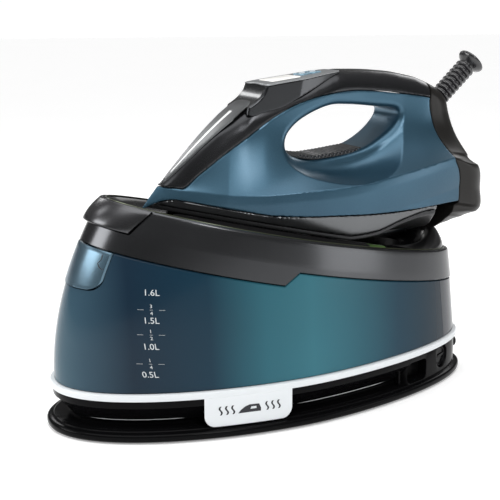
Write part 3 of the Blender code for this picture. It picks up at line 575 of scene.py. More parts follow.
def above(curve, u, v):
    """Roughly the distance of (u, v) above the curve v = curve(u)."""
    return (v - curve(u)) / np.sqrt(1 + slope(curve, u) ** 2)


def behind_heel_line(u, v):
    return above(heel_front, v, u)


def prow(v):
    """Raked front edge of the iron: the soleplate tip stands foremost."""
    return -0.1136 + 0.55 * v


def base_half(u):
    s = clip01((u + 0.112) / 0.177)
    return 0.056 * np.sin(pi / 2 * s) ** 0.85 - 0.0105 * (np.maximum(u - 0.07, 0) / 0.085) ** 2


def plate_half(u):
    s = np.clip((u + 0.0985) / 0.046, 0, 1.4)
    return np.minimum(0.0022 + 0.0150 * s ** 0.85, 0.0180 - 65 * np.maximum(u + 0.0515, 0) ** 2)


def strip_half(u):
    return 0.0007 + 0.0014 * clip01((u + 0.0935) / 0.040) ** 0.6


def pod_half(u):
    return 0.0202 - 0.0075 * clip01((u + 0.004) / 0.036) ** 1.3


def pod_front(v):
    """Front of the pod, flaring forward where it runs down into the nose plate."""
    return -0.0345 - 0.0060 * (np.clip(0.1100 - v, 0, 0.02) / 0.014) ** 2


def shell_half(u, v):
    """Half width of the lacquered shell: upright below the crease, falling in above it."""
    v_c = crease(u)
    rake = (0.55 * v - 0.0008) * clip01((-0.055 - u) / 0.045)
    base = base_half(u - rake)
    mid = base * 0.992
    top = np.minimum(top_half(u), mid)
    f = clip01((v - v_c) / np.maximum(shell_top(u) - v_c, 0.002))
    upper = top + (mid - top) * (1 - f) ** nose_fullness(u)
    drop = clip01((v_c - v) / 0.03)
    lower = base * (0.992 + 0.012 * np.minimum(drop * 4, 1)) - 0.003 * drop ** 2
    wide = np.where(v > v_c, upper, lower)
    depth = clip01(-scoop_d(u, v) / 0.0145)
    return wide - (wide - np.minimum(wide, 0.0222)) * (1 - (1 - depth) ** 1.7)


shell_w = Lookup(shell_half)


def shell_field(u, y, v):
    return meet((y - shell_w(u, v)) * 0.8,
                (-opening_d(u, v), 0.0060),
                (above(shell_top, u, v) + SEAM, 0.0007),
                (SEAM - above(shell_low, u, v), 0.0008),
                (prow(v) - u, 0.0030),
                (behind_heel_line(u, v) + SEAM, 0.0007))


def cover_field(u, y, v):
    low = shell_top(u)
    f = np.clip((v - low) / np.maximum(cover_top(u) - low, 0.003), 0, 1.2)
    wide = np.minimum(top_half(u), base_half(u)) + 0.0004 - 0.0045 * f ** 2
    over = above(cover_top, u, v)
    nose = clip01((-0.045 - u) / 0.02)
    plate = meet(y - plate_half(u) - GAP,
                 (-(over + 0.0016), 0.0002),
                 (span(u, -0.0990, -0.0398), 0.0002))
    pod = meet(y - pod_half(u) - GAP,
               (-above(pod_low, u, v), 0.0002),
               (span(u, pod_front(v) - GAP, 0.0335), 0.0002))
    return meet(y - np.maximum(wide, 0.0008),
                (over + 7.0 * y * y, 0.0035 + 0.0085 * (1 - nose)),
                (SEAM - above(shell_top, u, v), 0.0007),
                (behind_heel_line(u, v) + SEAM, 0.0007),
                (-plate, 0.0004), (-pod, 0.0004))


def plate_field(u, y, v):
    over = above(cover_top, u, v)
    slot = meet(y - strip_half(u) - 0.0002,
                (-(over + 0.0010), 0.0001),
                (span(u, -0.0940, -0.0515), 0.0006))
    return meet(y - plate_half(u),
                (over + 3.0 * y * y - 0.0001, 0.0010),
                (-(over + 0.0015), 0.0002),
                (span(u, -0.0984, -0.0401), 0.0008),
                (-slot, 0.0003))


def strip_field(u, y, v):
    over = above(cover_top, u, v)
    return meet(y - strip_half(u),
                (over - 0.0002, 0.0005),
                (-(over + 0.0009), 0.0002),
                (span(u, -0.0938, -0.0517), 0.0005))


def pod_field(u, y, v):
    return meet(y - pod_half(u),
                (pod_front(v) - u, 0.0022),
                (above(pod_top, u, v) + 0.0012 + 1.5 * y * y, 0.0004),
                (-(above(pod_low, u, v) + 9.0 * y * y), 0.0004),
                (u - 0.0330, 0.0015))


def bezel_field(u, y, v):
    """Silver top frame of the pod with its window and key openings."""
    depth = above(pod_top, u, v) + 1.5 * y * y
    out = meet(y - pod_half(u) - GAP,
               (pod_front(v) - GAP - u, 0.0022),
               (depth, 0.0010),
               (-(depth + 0.0013), 0.0003),
               (u - 0.0325, 0.0012))
    p = (u - POD_AT[0]) * cos(POD_PITCH) - (v - POD_AT[2]) * sin(POD_PITCH)
    for x0, x1, half in (WINDOW, (KEYS[0][0], KEYS[1][1], KEYS[0][2])):
        hole = smax(y - half - GAP, span(p, x0 - GAP, x1 + GAP), 0.0030)
        out = smax(out, -hole, 0.0005)
    return out


def heel_field(u, y, v):
    """Flush with the shell at the heel line, drawn in towards the tail below it."""
    flush = shell_w(heel_front(v), np.maximum(v, 0.0460)) - 0.0003
    tail = 0.0300 + 0.0185 * clip01((v - 0.016) / 0.030) ** 0.7
    rear = (u - heel_rear(v)) / np.sqrt(1 + np.minimum(slope(heel_rear, v) ** 2, 9))
    underside = 0.0190 + 0.57 * (u - 0.161) + 4.0 * y * y
    # the boot's ball joint and the flare it swings in
    du, dv = u - BOOT_AT[0], v - BOOT_AT[2]
    along = du * BOOT_DIR[0] + dv * BOOT_DIR[2]
    away = du ** 2 + y ** 2 + dv ** 2
    radial = np.sqrt(np.maximum(away - along ** 2, 0))
    mouth = np.maximum(radial - 0.0098 - 0.25 * np.maximum(along, 0), -along + 0.002)
    socket = np.minimum(np.sqrt(away) - 0.0093, mouth)
    return meet(y - np.minimum(flush, tail),
                (rear + 7.5 * y * y, 0.0130),
                (above(cover_top, u, v) + 7.0 * y * y, 0.0085),
                (SEAM - behind_heel_line(u, v), 0.0007),
                (underside - v, 0.0040),
                (-socket, 0.0012))


def bottom(u, y):
    return sole_v(u) + tail_rise(u) * y * y


def sole_half(u):
    tail = 0.0506 - 0.006 * clip01((u - 0.06) / 0.09)
    return np.maximum(np.minimum(base_half(u) - 0.0050, tail), 0.0014)


def tail_end(u, y):
    return u - 0.1500 + 14.0 * y * y * clip01((u - 0.10) / 0.05)


def sole_field(u, y, v):
    low = bottom(u, y)
    return meet(y - sole_half(u),
                (v - low - 0.0036, 0.0006),
                (low - v, 0.0016),
                (tail_end(u, y), 0.0015),
                (-0.1122 - u, 0.0012))


def skirt_field(u, y, v):
    low = bottom(u, y) + 0.0039
    f = clip01((v - low) / np.maximum(shell_low(u) - low, 0.002))
    narrow = sole_half(u) * 0.985
    wide = np.maximum(base_half(u) - 0.0018, sole_half(u) * 0.9)
    return meet(y - narrow - (wide - narrow) * f ** 0.75,
                (low - v, 0.0008),
                (above(shell_low, u, v) + 0.0005, 0.0006),
                (tail_end(u, y) - 0.0005, 0.0015),
                (-0.1075 - u, 0.0010))


# ---------------------------------------------------------------- iron pieces
# Node, field, box (u from, to; y half; v from, to; in mm), grid step, material and slot.
IRON = (("iron_shell", shell_field, (-118, 158, 58, -6, 129), 0.00105, "blue", "blue"),
        ("top_cover", cover_field, (-113, 152, 26, 4, 145), 0.00075, "cover", "cover"),
        ("heel_cover", heel_field, (116, 200, 51, 6, 145), 0.0009, "heel", "heel"),
        ("iron_skirt", skirt_field, (-110, 153, 56, 2, 50), 0.00095, "skirt", "gunmetal"),
        ("soleplate", sole_field, (-110, 153, 53, -2, 50), 0.00095, "sole", "sole"),
        ("nose_plate", plate_field, (-100, -41, 16, 18, 104), 0.0005, "plate", "silver"),
        ("light_strip", strip_field, (-96, -50, 4, 20, 100), 0.0004, "light", "trim"),
        ("control_pod", pod_field, (-47, 35, 22, 84, 136), 0.0007, "pod", "silver"),
        ("pod_bezel", bezel_field, (-43, 34, 22, 103, 137), 0.0005, "silver", "silver"))


def build_iron():
    for node, field, box, step, mat, slot in IRON:
        u0, u1, half, v0, v1 = (n / 1000 for n in box)
        mesh = implicit_mesh(lambda u, y, v: field(u, np.abs(y), v), (u0, -half, v0),
                             (u1, half, v1), step)
        make = piece if node == "pod_bezel" else skin
        make(node, mesh, mat, slot, body="iron", angle=30, move=IRON_MOVE)


def tile(outline, low, high, crown, soft):
    """Thin plate with a softly crowned top and a rounded edge."""
    mesh = soften(prism_mesh(outline, "z", low, high), soft, 3)
    for vert in mesh.vertices:
        if vert.co.z > (low + high) / 2:
            vert.co.z -= crown * vert.co.y ** 2
    return mesh


def build_pod_parts():
    x0, x1, half = WINDOW
    inset = 0.0002
    window = rounded(x0 + inset, x1 - inset, inset - half, half - inset, 0.0030)
    skin("display_window", tile(window, -0.0012, 0.0002, 1.2, 0.0003), "pearl", "window",
         body="iron", move=POD_MOVE)
    for node, body, (a, b, half) in (("button_steam", "steam_key", KEYS[0]),
                                     ("button_mode", "mode_key", KEYS[1])):
        key = tile(rounded(a, b, -half, half, 0.0024), -0.0026, 0.0011, 2.5, 0.0006)
        skin(node, key, "ice", "ice", body=body, move=POD_MOVE)
        section = ((0.0024, 0.0009), (0.0024, 0.00128), (0.0018, 0.00128), (0.0018, 0.0009))
        rings = [[((a + b) / 2 + r * cos(t), r * 1.25 * sin(t), z) for r, z in section]
                 for t in circle(40)]
        piece(node + "_mark", ring_mesh(rings, closed=True), "light", "ice", body=body,
              move=POD_MOVE)


def build_boot():
    """Strain relief: a ball, eight soft ribs and a flared mouth."""
    profile = [(0.0010, -0.0086)] + arc(0, 0, 0.0086, -80.5, 33.5, 12)
    start, end, ribs = 0.0075, 0.0455, 8
    pitch = (end - start) / ribs
    for k in range(ribs):
        for f, r in ((0.0, 6.6), (0.12, 6.6), (0.22, 7.8), (0.32, 8.5), (0.46, 8.8),
                     (0.62, 8.8), (0.76, 8.5), (0.88, 7.8)):
            profile.append((r * MM, start + pitch * (k + f)))
    profile += [(r * MM, z * MM) for r, z in (
        (6.8, 45.6), (7.0, 46.6), (9.0, 48.2), (11.2, 50.0), (12.2, 51.4), (12.5, 52.4),
        (12.2, 53.1), (10.0, 53.3), (6.6, 53.0), (5.8, 52.0), (4.0, 51.5))]
    turn = Vector((0, 0, 1)).rotation_difference(BOOT_DIR).to_matrix().to_4x4()
    skin("hose_boot", turned_mesh(profile), "boot", "rubber", body="boot", angle=40,
         move=IRON_MOVE @ Matrix.Translation(BOOT_AT) @ turn)


def build_pad():
    """Thumb rest: a curved black pad with cross ribs and a smooth rim."""
    u0, u1, half, pitch = 0.0045, 0.0695, 0.0185, 0.0034
    ys = np.linspace(-half, half, 38)
    rows = []
    for u in np.linspace(u0, u1, 360):
        inner = min((u - u0) / 0.004, (u1 - u) / 0.004, 1)
        wave = 0.5 - 0.5 * cos(TURN * (u - u0) / pitch)
        level = float(saddle(u))
        row = []
        for y in ys:
            side = min((half - abs(y)) / 0.0025, 1)
            lift = 0.0013 * wave * max(inner, 0) * side
            edge = 0.0012 * (1 - min(side, inner)) ** 2
            row.append((u, y, level + 0.0020 + lift - edge))
        rows.append(row + [(u, y, level + 0.0004) for y in reversed(ys)])
    skin("saddle_pad", ring_mesh(rows), "pad", "rubber", body="iron", angle=50, move=IRON_MOVE)


# ---------------------------------------------------------------- station shape


def front_half(z):
    return 0.184 - 2.23 * max(z - 0.04, 0.0) ** 2


def rear_half(z):
    return 0.186 - 0.116 * max(z - 0.04, 0.0)


def side_half(z):
    return 0.079 - 0.10 * max(z - 0.04, 0.0)


def waist(q):
    """|q| ** PLAN_N with its crease at q = 0 smoothed out."""
    soft = 0.12
    power = PLAN_N / 2
    low = soft ** PLAN_N
    return ((q * q + soft * soft) ** power - low) / ((1 + soft * soft) ** power - low)


def plan(t, z, off=0.0):
    """Outline point at plan angle t and height z, off metres outside the body."""
    c = cos(t)
    a = (rear_half(z) if c > 0 else front_half(z)) + off
    q = copysign(abs(c) ** (2 / PLAN_N), c)
    y = (side_half(z) + off) * copysign(max(1 - waist(q), 0.0) ** (1 / PLAN_M), sin(t))
    return a * q, y * (1 + PLAN_EGG * q)


def wall(t, z, off=0.0):
    return (*plan(t, z, off), z)


def rim_z(x):
    return 0.1452 - 0.219 * x + 0.17 * x * x


def band_low_z(x):
    """Lower edge of the rim band, with its step."""
    blend = min(max((x + 0.0218) / 0.0133, 0.0), 1.0)
    return rim_z(x) - (0.0375 - 0.0117 * blend)


def floor_z(x):
    return IRON_Z - tan(TILT) * x + FLOOR_V / cos(TILT)


def follow(t, off, height):
    """Wall point where the wall meets z = height(x)."""
    z = 0.13
    for _ in range(14):
        z = height(plan(t, z, off)[0])
    return wall(t, z, off)


def band_point(t, off, drop):
    return follow(t, off, lambda x: rim_z(x) - drop)


def tank_top(t, off, gap):
    return follow(t, off, lambda x: band_low_z(x) - gap)[2]


def surface_frame(t, z):
    """Point and outward horizontal normal of the body surface."""
    along = (Vector(wall(t + 0.004, z)) - Vector(wall(t - 0.004, z))).normalized()
    return Vector(wall(t, z)), Vector((along.y, -along.x, 0))


def bisect(low, high, below):
    """Angle at which below(angle) turns false."""
    for _ in range(40):
        mid = (low + high) / 2
        if below(mid):
            low = mid
        else:
            high = mid
    return (low + high) / 2


def angle_at(x, z, off=0.0):
    """Plan angle on the -Y side where the surface stands at x."""
    return bisect(pi, TURN, lambda t: plan(t, z, off)[0] < x)


def on_front(y, z, off):
    """Point of the front surface at a given y."""
    x, near = plan(bisect(pi, 1.4 * pi, lambda t: plan(t, z, off)[1] > -abs(y)), z, off)
    return Vector((x, copysign(near, y), z))


def steps(low, high, count):
    return [low + (high - low) * k / count for k in range(count + 1)]


def round_turn(count=220, extra=()):
    """Angles round the body, dense enough everywhere, with any extra ones added."""
    base = [TURN * k / count for k in range(count)]
    tips = [0.35 * pi / count * k for k in range(-10, 11)]
    return sorted(set(round(t, 6) for t in base + [t % TURN for t in tips] + list(extra)))


def step_angles():
    """Angles beside both ends of the step in the band's lower edge, on both sides."""
    near = [angle_at(x, 0.12) + d for x in (-0.0218, -0.0085) for d in (-0.004, 0, 0.004)]
    return near + [TURN - t for t in near]


def turn_profile(profile, angles, closed=True):
    """Sweep an (offset, z) outline round the body."""
    return ring_mesh([[wall(t, z, off) for off, z in profile] for t in angles], closed)


def wrap(t, z, x, y, off):
    """Point x metres along the surface from angle t and y above z."""
    left = abs(x)
    step = copysign(0.002, x)
    while left > 1e-7:
        length = (Vector(plan(t + step, z)) - Vector(plan(t, z))).length
        part = min(left / length, 1.0)
        t += step * part
        left -= length * part
    return Vector(wall(t, z + y, off))


def wrap_mesh(mesh, t, z, off):
    """Lay a flat mesh (x right, y up, z out) onto the body surface."""
    for vert in mesh.vertices:
        vert.co = wrap(t, z, vert.co.x, vert.co.y, off + vert.co.z)
    mesh.update()
    return mesh


def thin_plate(curve):
    curve.extrude = PRINT_T / 2
    return baked(linked("draft", curve))


def flat_outline(*loops):
    """Thin plate from closed 2D loops; inner loops are holes."""
    curve = bpy.data.curves.new("outline", "CURVE")
    curve.dimensions = "2D"
    curve.fill_mode = "BOTH"
    for loop in loops:
        line = curve.splines.new("POLY")
        line.points.add(len(loop) - 1)
        for point, (x, y) in zip(line.points, loop):
            point.co = (x, y, 0, 1)
        line.use_cyclic_u = True
    return thin_plate(curve)


def words(text, height, wide):
    """Thin plate in the shape of a text, stretched sideways."""
    curve = bpy.data.curves.new("text", "FONT")
    curve.body = text
    curve.size = height
    curve.align_x = "CENTER"
    curve.align_y = "CENTER"
    curve.resolution_u = 3
    mesh = thin_plate(curve)
    mesh.transform(Matrix.Diagonal((wide, 1, 1, 1)))
    return mesh


# ---------------------------------------------------------------- station pieces


def build_plinth():
    turn = round_turn()
    f = FLANGE
    levels = [(f - 0.0040, 0.0012)] + arc(f - 0.0010, 0.0037, 0.0025, -90, 0)
    levels += arc(f - 0.0010, 0.0052, 0.0025, 0, 62)
    levels += [(f - 0.0014, 0.0078), (0.0018, 0.0082), (0.0012, 0.0088),
               (0.0012, PLINTH_TOP - 0.0005), (0.0008, PLINTH_TOP)]
    body = ring_mesh([[wall(t, z, off) for t in turn] for off, z in levels])
    groove = [(x * MM, z * MM) for x, z in (
        (20, 8.8), (20, 26.8), (0.4, 26.8), (-0.6, 26.0), (-8.5, 14.8), (-9.0, 14.0),
        (-11.0, 13.6), (-12.5, 12.8), (-13.0, 11.5), (-12.8, 10.0), (-11.8, 9.0))]
    body = boolean(body, turn_profile(groove, steps(*GROOVE, 150), closed=False))
    for near, far in ((-0.075, -0.0435), (0.0435, 0.075)):
        pocket = rounded(0.1015, 0.1255, 0.0092, 0.0278, 0.0040)
        body = boolean(body, prism_mesh(pocket, "y", near, far))
    body = boolean(body, ring_mesh([[(*plan(t, 0.02, -0.026), z) for t in turn[::2]]
                                    for z in (-0.01, 0.0285)]))
    seat = turned_mesh([(0.0004, -0.0042), (KNOB_R + 0.0006, -0.0042),
                        (KNOB_R + 0.0006, 0.0002), (KNOB_R + 0.0020, 0.0022),
                        (KNOB_R + 0.0020, 0.02), (0.0004, 0.02)], 64)
    seat.transform(facing(*surface_frame(KNOB_ANGLE, KNOB_Z)))
    body = boolean(body, seat)
    for _, place, r in BUSHINGS:
        r += 0.0006
        hole = turned_mesh([(0.0004, -0.02), (r, -0.02), (r, 0.03), (0.0004, 0.03)], 48)
        hole.transform(facing(place, (1, 0, 0)))
        body = boolean(body, hole)
    skin("plinth", soften(body, 0.0005, 2, 40), "black", "plinth", angle=35)
    sole = [(0.0004, 0.0010), (0.0085, 0.0010), (0.0085, 0.0004), (0.0080, 0.0), (0.0060, 0.0),
            (0.0056, 0.0003), (0.0004, 0.0003)]
    for i, (x, y) in enumerate(((-1, -1), (-1, 1), (1, -1), (1, 1))):
        skin("foot_%d" % (i + 1), turned_mesh(sole, 48), "rubber", "foot", angle=35,
             move=FRAME_MOVE @ Matrix.Translation((0.118 * x, 0.046 * y, 0)))


def build_groove_detail():
    """Bead along the lower edge of the sloping wall, light grey as a painted highlight, and a rib
    before the pocket.
    """
    last = 59
    for word, side in NEAR_FAR:
        for part, x0, x1, size in (("rear", -0.0100, 0.0800, 0.00055),
                                   ("front", -0.1660, -0.1000, 0.00045)):
            rings = []
            for k, x in enumerate(np.linspace(x0, x1, last + 1)):
                t = angle_at(x, 0.0145, -0.0088)
                r = size * min(1.0, 0.25 + min(k, last - k) / 9)
                rings.append([(a, -side * b, z) for a, b, z in (
                    (*plan(t, 0.0145, off), z) for off, z in arc(-0.0088, 0.0146, r, 0, 330, 11))])
            piece("groove_bead_%s_%s" % (part, word), ring_mesh(rings), "bead", "plinth")
        rib = turned_mesh([(0.0002, 0.0090), (0.0012, 0.0094), (0.0012, 0.0262),
                           (0.0002, 0.0266)], 20)
        x, y = plan(angle_at(0.0965, 0.02), 0.02, -0.0045)
        piece("groove_rib_" + word, rib, "black", "plinth",
              move=FRAME_MOVE @ Matrix.Translation((x, -side * y, 0)))


def build_strip_and_label():
    outline = ([(-0.006, 0.0328)] + arc(0.0026, 0.0334, 0.0006, -90, 0, 3)
               + arc(0.0022, 0.0370, 0.0010, 0, 90, 4) + [(-0.006, 0.0380)])
    skin("trim_strip", turn_profile(outline, round_turn()), "white", "trim", angle=40)
    rings = []
    radius = 0.0090
    back, face = 0.0014, 0.0031
    for k in range(121):
        s = 0.5 - 0.5 * cos(pi * k / 120)
        corner = max(radius - min(s, 1 - s) * TAB_WIDTH, 0)
        low = TAB_LOW
        if corner:
            low += radius - sqrt(max(radius ** 2 - corner ** 2, 0))
        t = TAB[0] + (TAB[1] - TAB[0]) * s
        profile = [(back, low), (face - 0.0005, low), (face, low + 0.0005)]
        profile += [(face, low + 0.0005 + (0.0334 - low) * m / 6) for m in range(1, 7)]
        rings.append([wall(t, z, off) for off, z in profile + [(back, 0.0339)]])
    piece("label_tab", soften(ring_mesh(rings), 0.0003, 2, 50), "white", "trim", angle=40)
    # generic pictogram in mm: an iron outline between rising steam waves
    iron = ((-9.5, 0), (8.5, 0), (8.5, 2.6), (7.0, 6.0), (-0.5, 6.2), (-4.0, 5.0), (-7.5, 2.5))
    handle = ((0.8, 4.4), (4.8, 4.4), (5.0, 2.5), (0.0, 2.5))
    inks = [[[(x * MM, (y - 3.4) * MM) for x, y in loop] for loop in (iron, handle)]]
    height = 0.0070
    for k in range(3):
        for side in (-1, 1):
            cx = side * (0.0135 + 0.0048 * k)
            left = [(cx - 0.0007 + 0.0009 * sin(TURN * m / 16), height * (m / 16 - 0.5))
                    for m in range(17)]
            inks.append([left + [(x + 0.0014, y) for x, y in reversed(left)]])
    for k, loops in enumerate(inks):
        mesh = wrap_mesh(flat_outline(*loops), (TAB[0] + TAB[1]) / 2, TAB_MARK_Z, face + PRINT_T)
        piece("label_mark_%d" % (k + 1), mesh, "grey_ink", "trim", angle=60)


def jacket_section(t, off_out, off_in, low, top_gap, levels=14, round_off=0.0008):
    """Closed outline of a wall from z = low up to the band, at plan angle t."""
    top = tank_top(t, off_out, top_gap)
    heights = [low + round_off] + steps(low, top, levels)[1:-1] + [top - round_off]
    inner_top = tank_top(t, off_in, top_gap)
    return ([wall(t, low, off_out - round_off)] + [wall(t, z, off_out) for z in heights]
            + [wall(t, top, off_out - round_off)]
            + [wall(t, z, off_in) for z in (inner_top, (inner_top + low) / 2, low)])


def door_prism(half, low, deep):
    """Outline of the door seen from the front, as a prism through the front wall."""
    r, high = 0.008, 0.16
    outline = ([(half, high), (-half, high)] + arc(r - half, low + r, r, 180, 270, 12)
               + arc(half - r, low + r, r, 270, 360, 12))
    return prism_mesh(outline, "x", -0.19, deep)


def build_tank():
    turn = [t for t in round_turn(200, step_angles())
            if TANK_END + 0.004 < t < TURN - TANK_END - 0.004]
    turn = [TANK_END] + turn + [TURN - TANK_END]
    inside = [t for t in turn if TANK_END + 0.03 < t < TURN - TANK_END - 0.03][::2]
    front = (radians(148), radians(212))

    def shell(angles, *section):
        return ring_mesh([jacket_section(t, *section) for t in angles])

    tank = boolean(shell(turn, 0.0, -TANK_DEPTH, DECK_Z, BAND_GAP),
                   shell(inside, -TANK_WALL, TANK_WALL - TANK_DEPTH, DECK_Z + TANK_WALL,
                         BAND_GAP + TANK_WALL, 5, 0.0002))
    layer = shell(steps(*front, 24), 0.004, -0.0060, 0.10, -0.004, 8)
    hole = door_prism(DOOR_HALF + 0.0008, DOOR_LOW - 0.0010, -0.1300)
    tank = boolean(tank, boolean(hole, layer, "INTERSECT"))
    skin("water_tank", tank, "tank", "tank")
    blank = shell(steps(*front, 90), 0.0010, -TANK_WALL, 0.105, 0.0009, 12)
    door = boolean(blank, door_prism(DOOR_HALF, DOOR_LOW, -0.1200), "INTERSECT")
    skin("fill_door", soften(door, 0.0006, 3, 45), "door", "blue", body="door", angle=40)
    rear = steps(0.004 - TANK_END, TANK_END - 0.004, 80)
    skin("rear_housing", shell(rear, 0.0, -0.003, DECK_Z, BAND_GAP), "navy", "housing")


def build_door_notch():
    """Grip line near each edge of the door: straight down, a small chevron, out to the edge."""
    path = [(0.0268, 0.1415), (0.0272, 0.1372), (0.0256, 0.1350), (0.0274, 0.1322),
            (0.0302, 0.1305)]
    for word, side in NEAR_FAR:
        for k, ((y0, z0), (y1, z1)) in enumerate(zip(path, path[1:])):
            d = Vector((y1 - y0, z1 - z0)).normalized() * 0.00022
            quad = [(y0 - d.y, z0 + d.x), (y0 + d.y, z0 - d.x), (y1 + d.y, z1 - d.x),
                    (y1 - d.y, z1 + d.x)]
            rings = [[on_front(side * y, z, off) for y, z in quad] for off in (0.0008, 0.00115)]
            piece("door_line_%s_%d" % (word, k + 1), ring_mesh(rings), "grey_ink", "blue",
                  body="door")


def lean(base, high):
    """Angle at a height of the band: the let-in for the hood is narrower at its lower edge."""
    reach = radians(52)
    away = abs(base - pi)
    if away > reach:
        return base
    at = HOOD_TOP + (HOOD_LOW - HOOD_TOP) * min(max(high, 0.0), 1.0)
    if away <= HOOD_TOP:
        turned = away * at / HOOD_TOP
    else:
        turned = at + (away - HOOD_TOP) * (reach - at) / (reach - HOOD_TOP)
    return pi + copysign(turned, base - pi)


def build_band():
    edge = [pi + side * (HOOD_TOP + d) for side in (-1, 1) for d in (-0.004, 0.004)]
    rings = []
    for base in round_turn(220, step_angles() + edge):
        if abs(base - pi) < HOOD_TOP:
            low = top = -0.0028
            lip = [(-0.0030, 0.0010), (-0.0032, 0.0004), (-0.0034, 0.0001)]
        else:
            low, top = 0.0006, -0.0001
            lip = [(top - 0.0002, 0.0010), (top - 0.0007, 0.0003), (top - 0.0013, 0.0001)]
        t = lean(base, 1)
        low_z = tank_top(t, 0.0006, 0.0)
        seam = band_point(t, 0.0006, 0.0216)[2]
        section = [wall(t, low_z, -0.0002)]
        section += [wall(t, z, 0.0006) for z in np.linspace(low_z + 0.0007, seam, 6)]
        section += [band_point(lean(base, 1 - f), low + (top - low) * f, 0.0210 - 0.0190 * f)
                    for f in (k / 6 for k in range(7))]
        section += [band_point(base, off, drop) for off, drop in lip + [
            (-0.0038, 0.0001), (-0.0043, 0.0004), (-BAND_T, 0.0010), (-BAND_T, 0.0080)]]
        rings.append(section + [follow(base, -BAND_T, band_low_z)])
    skin("rim_band", ring_mesh(rings, closed=True), "band", "band")
    rings = []
    for t in round_turn(220):
        x, y, z = band_point(t, -0.0040, -0.00005)
        n = (Vector(plan(t, z, 0.001)) - Vector(plan(t, z, -0.001))).normalized() * 0.00045
        rings.append([(x + n.x * cos(a), y + n.y * cos(a), z + 0.00045 * sin(a))
                      for a in circle(8)])
    piece("rim_bead", ring_mesh(rings, closed=True), "olive", "band")


def build_hood():
    rings = []
    for s in steps(-1, 1, 90):
        low_t = pi + s * (HOOD_LOW - 0.012)
        top_t = pi + s * (HOOD_TOP - 0.012)
        lip = 0.0010 + 0.0052 * (1 - s * s) ** 0.9
        section = [(low_t, -0.0020, 0.0206), (low_t, lip - 0.0010, 0.0206),
                   (low_t, lip - 0.0003, 0.0202), (low_t, lip, 0.0194)]
        for f in (0.15, 0.3, 0.5, 0.7, 0.85):
            section.append((low_t + (top_t - low_t) * f,
                            lip * (1 - f ** 2.2) + 0.0010 * f ** 2.2, 0.0194 - 0.0175 * f))
        section += [(top_t, 0.0008, 0.0012), (top_t, 0.0001, 0.0004),
                    (top_t, -0.0010, 0.0002), (top_t, -0.0022, 0.0006)]
        rings.append([band_point(*point) for point in section])
    skin("lock_hood", ring_mesh(rings), "hood", "band", body="hood", angle=35)


def build_tray():
    """Bowl under the rim, sloping with the iron, and the raised stop behind its heel."""
    turn = round_turn(180)
    inset = BAND_T + 0.0003
    foot = 0.0165
    rows = [[follow(t, -foot, lambda x: floor_z(x) - 0.0026) for t in turn]]
    rows += [[band_point(t, off, drop) for t in turn] for off, drop in (
        (-inset, 0.0068), (-inset, 0.0016), (-inset - 0.0006, 0.0010), (-0.0070, 0.0020),
        (-0.0090, 0.0042))]
    for f in (0.45, 0.75, 0.92):
        row = []
        for t in turn:
            a = Vector(band_point(t, -0.0090, 0.0042))
            b = Vector(follow(t, -foot, floor_z))
            p = a.lerp(b, f)
            p.z = a.z + (b.z - a.z) * (1 - (1 - f) ** 1.6)
            row.append(p)
        rows.append(row)
    rows += [[follow(t, off, floor_z) for t in turn] for off in (-foot, -0.0185)]
    skin("cradle_tray", ring_mesh(rows), "bowl", "tray", angle=40)
    rings = []
    for t in np.linspace(-radians(45), radians(45), 61):
        rise = 0.0180 * cos(2 * t) ** 2
        section = [(-inset - 0.0001, 0.0040)]
        section += [(off, -part * rise) for off, part in (
            (-inset - 0.0001, 0.25), (-inset - 0.0012, 0.50), (-0.0085, 0.80), (-0.0105, 0.94),
            (-0.0135, 1), (-0.0160, 0.96), (-0.0185, 0.84), (-0.0240, 0.36))]
        section += [(-0.0290, 0.0015), (-0.0290, 0.0085)]
        rings.append([band_point(t, *point) for point in section])
    piece("heel_stop", ring_mesh(rings), "bowl", "tray", angle=40)


def build_rests():
    """Soft strips and pads that the soleplate stands on."""
    u0, u1, half = -0.088, 0.070, 0.0016
    for word, side in NEAR_FAR:
        rings = []
        for u in np.linspace(u0, u1, 48):
            y = min(float(base_half(u)) - 0.0075, 0.0500) * side
            top = -0.0006 - 0.0012 * (1 - min(1.0, (u1 - u) / 0.004, (u - u0) / 0.004))
            rings.append([(u, y + dy, v) for dy, v in (
                (-half, -0.0120), (half, -0.0120), (half, top - 0.0006), (0.0008, top),
                (-0.0008, top), (-half, top - 0.0006))])
        piece("cushion_strip_" + word, ring_mesh(rings), "rubber", "rubber", move=IRON_MOVE)
    pads = ((-0.066, 0.011, 0.024, 0.008, -0.0004, "rubber"),
            (0.035, 0.034, 0.024, 0.009, -0.0004, "rubber"),
            (0.083, 0.0385, 0.018, 0.008, -0.0022, "green"))
    for i in range(6):
        u, y, length, width, top, look = pads[i // 2]
        y *= NEAR_FAR[i % 2][1]
        outline = rounded(u - length / 2, u + length / 2, y - width / 2, y + width / 2, 0.0025)
        pad = soften(prism_mesh(outline, "z", FLOOR_V + 0.0003, top), 0.0010, 3)
        skin("rest_pad_%d" % (i + 1), pad, look, look, angle=35, move=IRON_MOVE)


def build_knob():
    point, normal = surface_frame(KNOB_ANGLE, KNOB_Z)
    body = turned_mesh([(0.0003, -0.0030), (KNOB_R, -0.0030), (KNOB_R, 0.0020),
                        (KNOB_R - 0.0004, 0.0027), (KNOB_R - 0.0011, 0.0030),
                        (KNOB_R - 0.0020, 0.0027), (KNOB_R - 0.0026, 0.0019), (0.0003, 0.0019)])
    grip = prism_mesh(rounded(-0.0075, 0.0075, -0.0013, 0.0013, 0.0012), "z", 0.0010, 0.0029)
    body = boolean(body, soften(grip, 0.0004, 2), "UNION")
    skin("descale_knob", body, "black", "plinth", body="knob", angle=40,
         move=FRAME_MOVE @ facing(point - normal * 0.0037, normal))


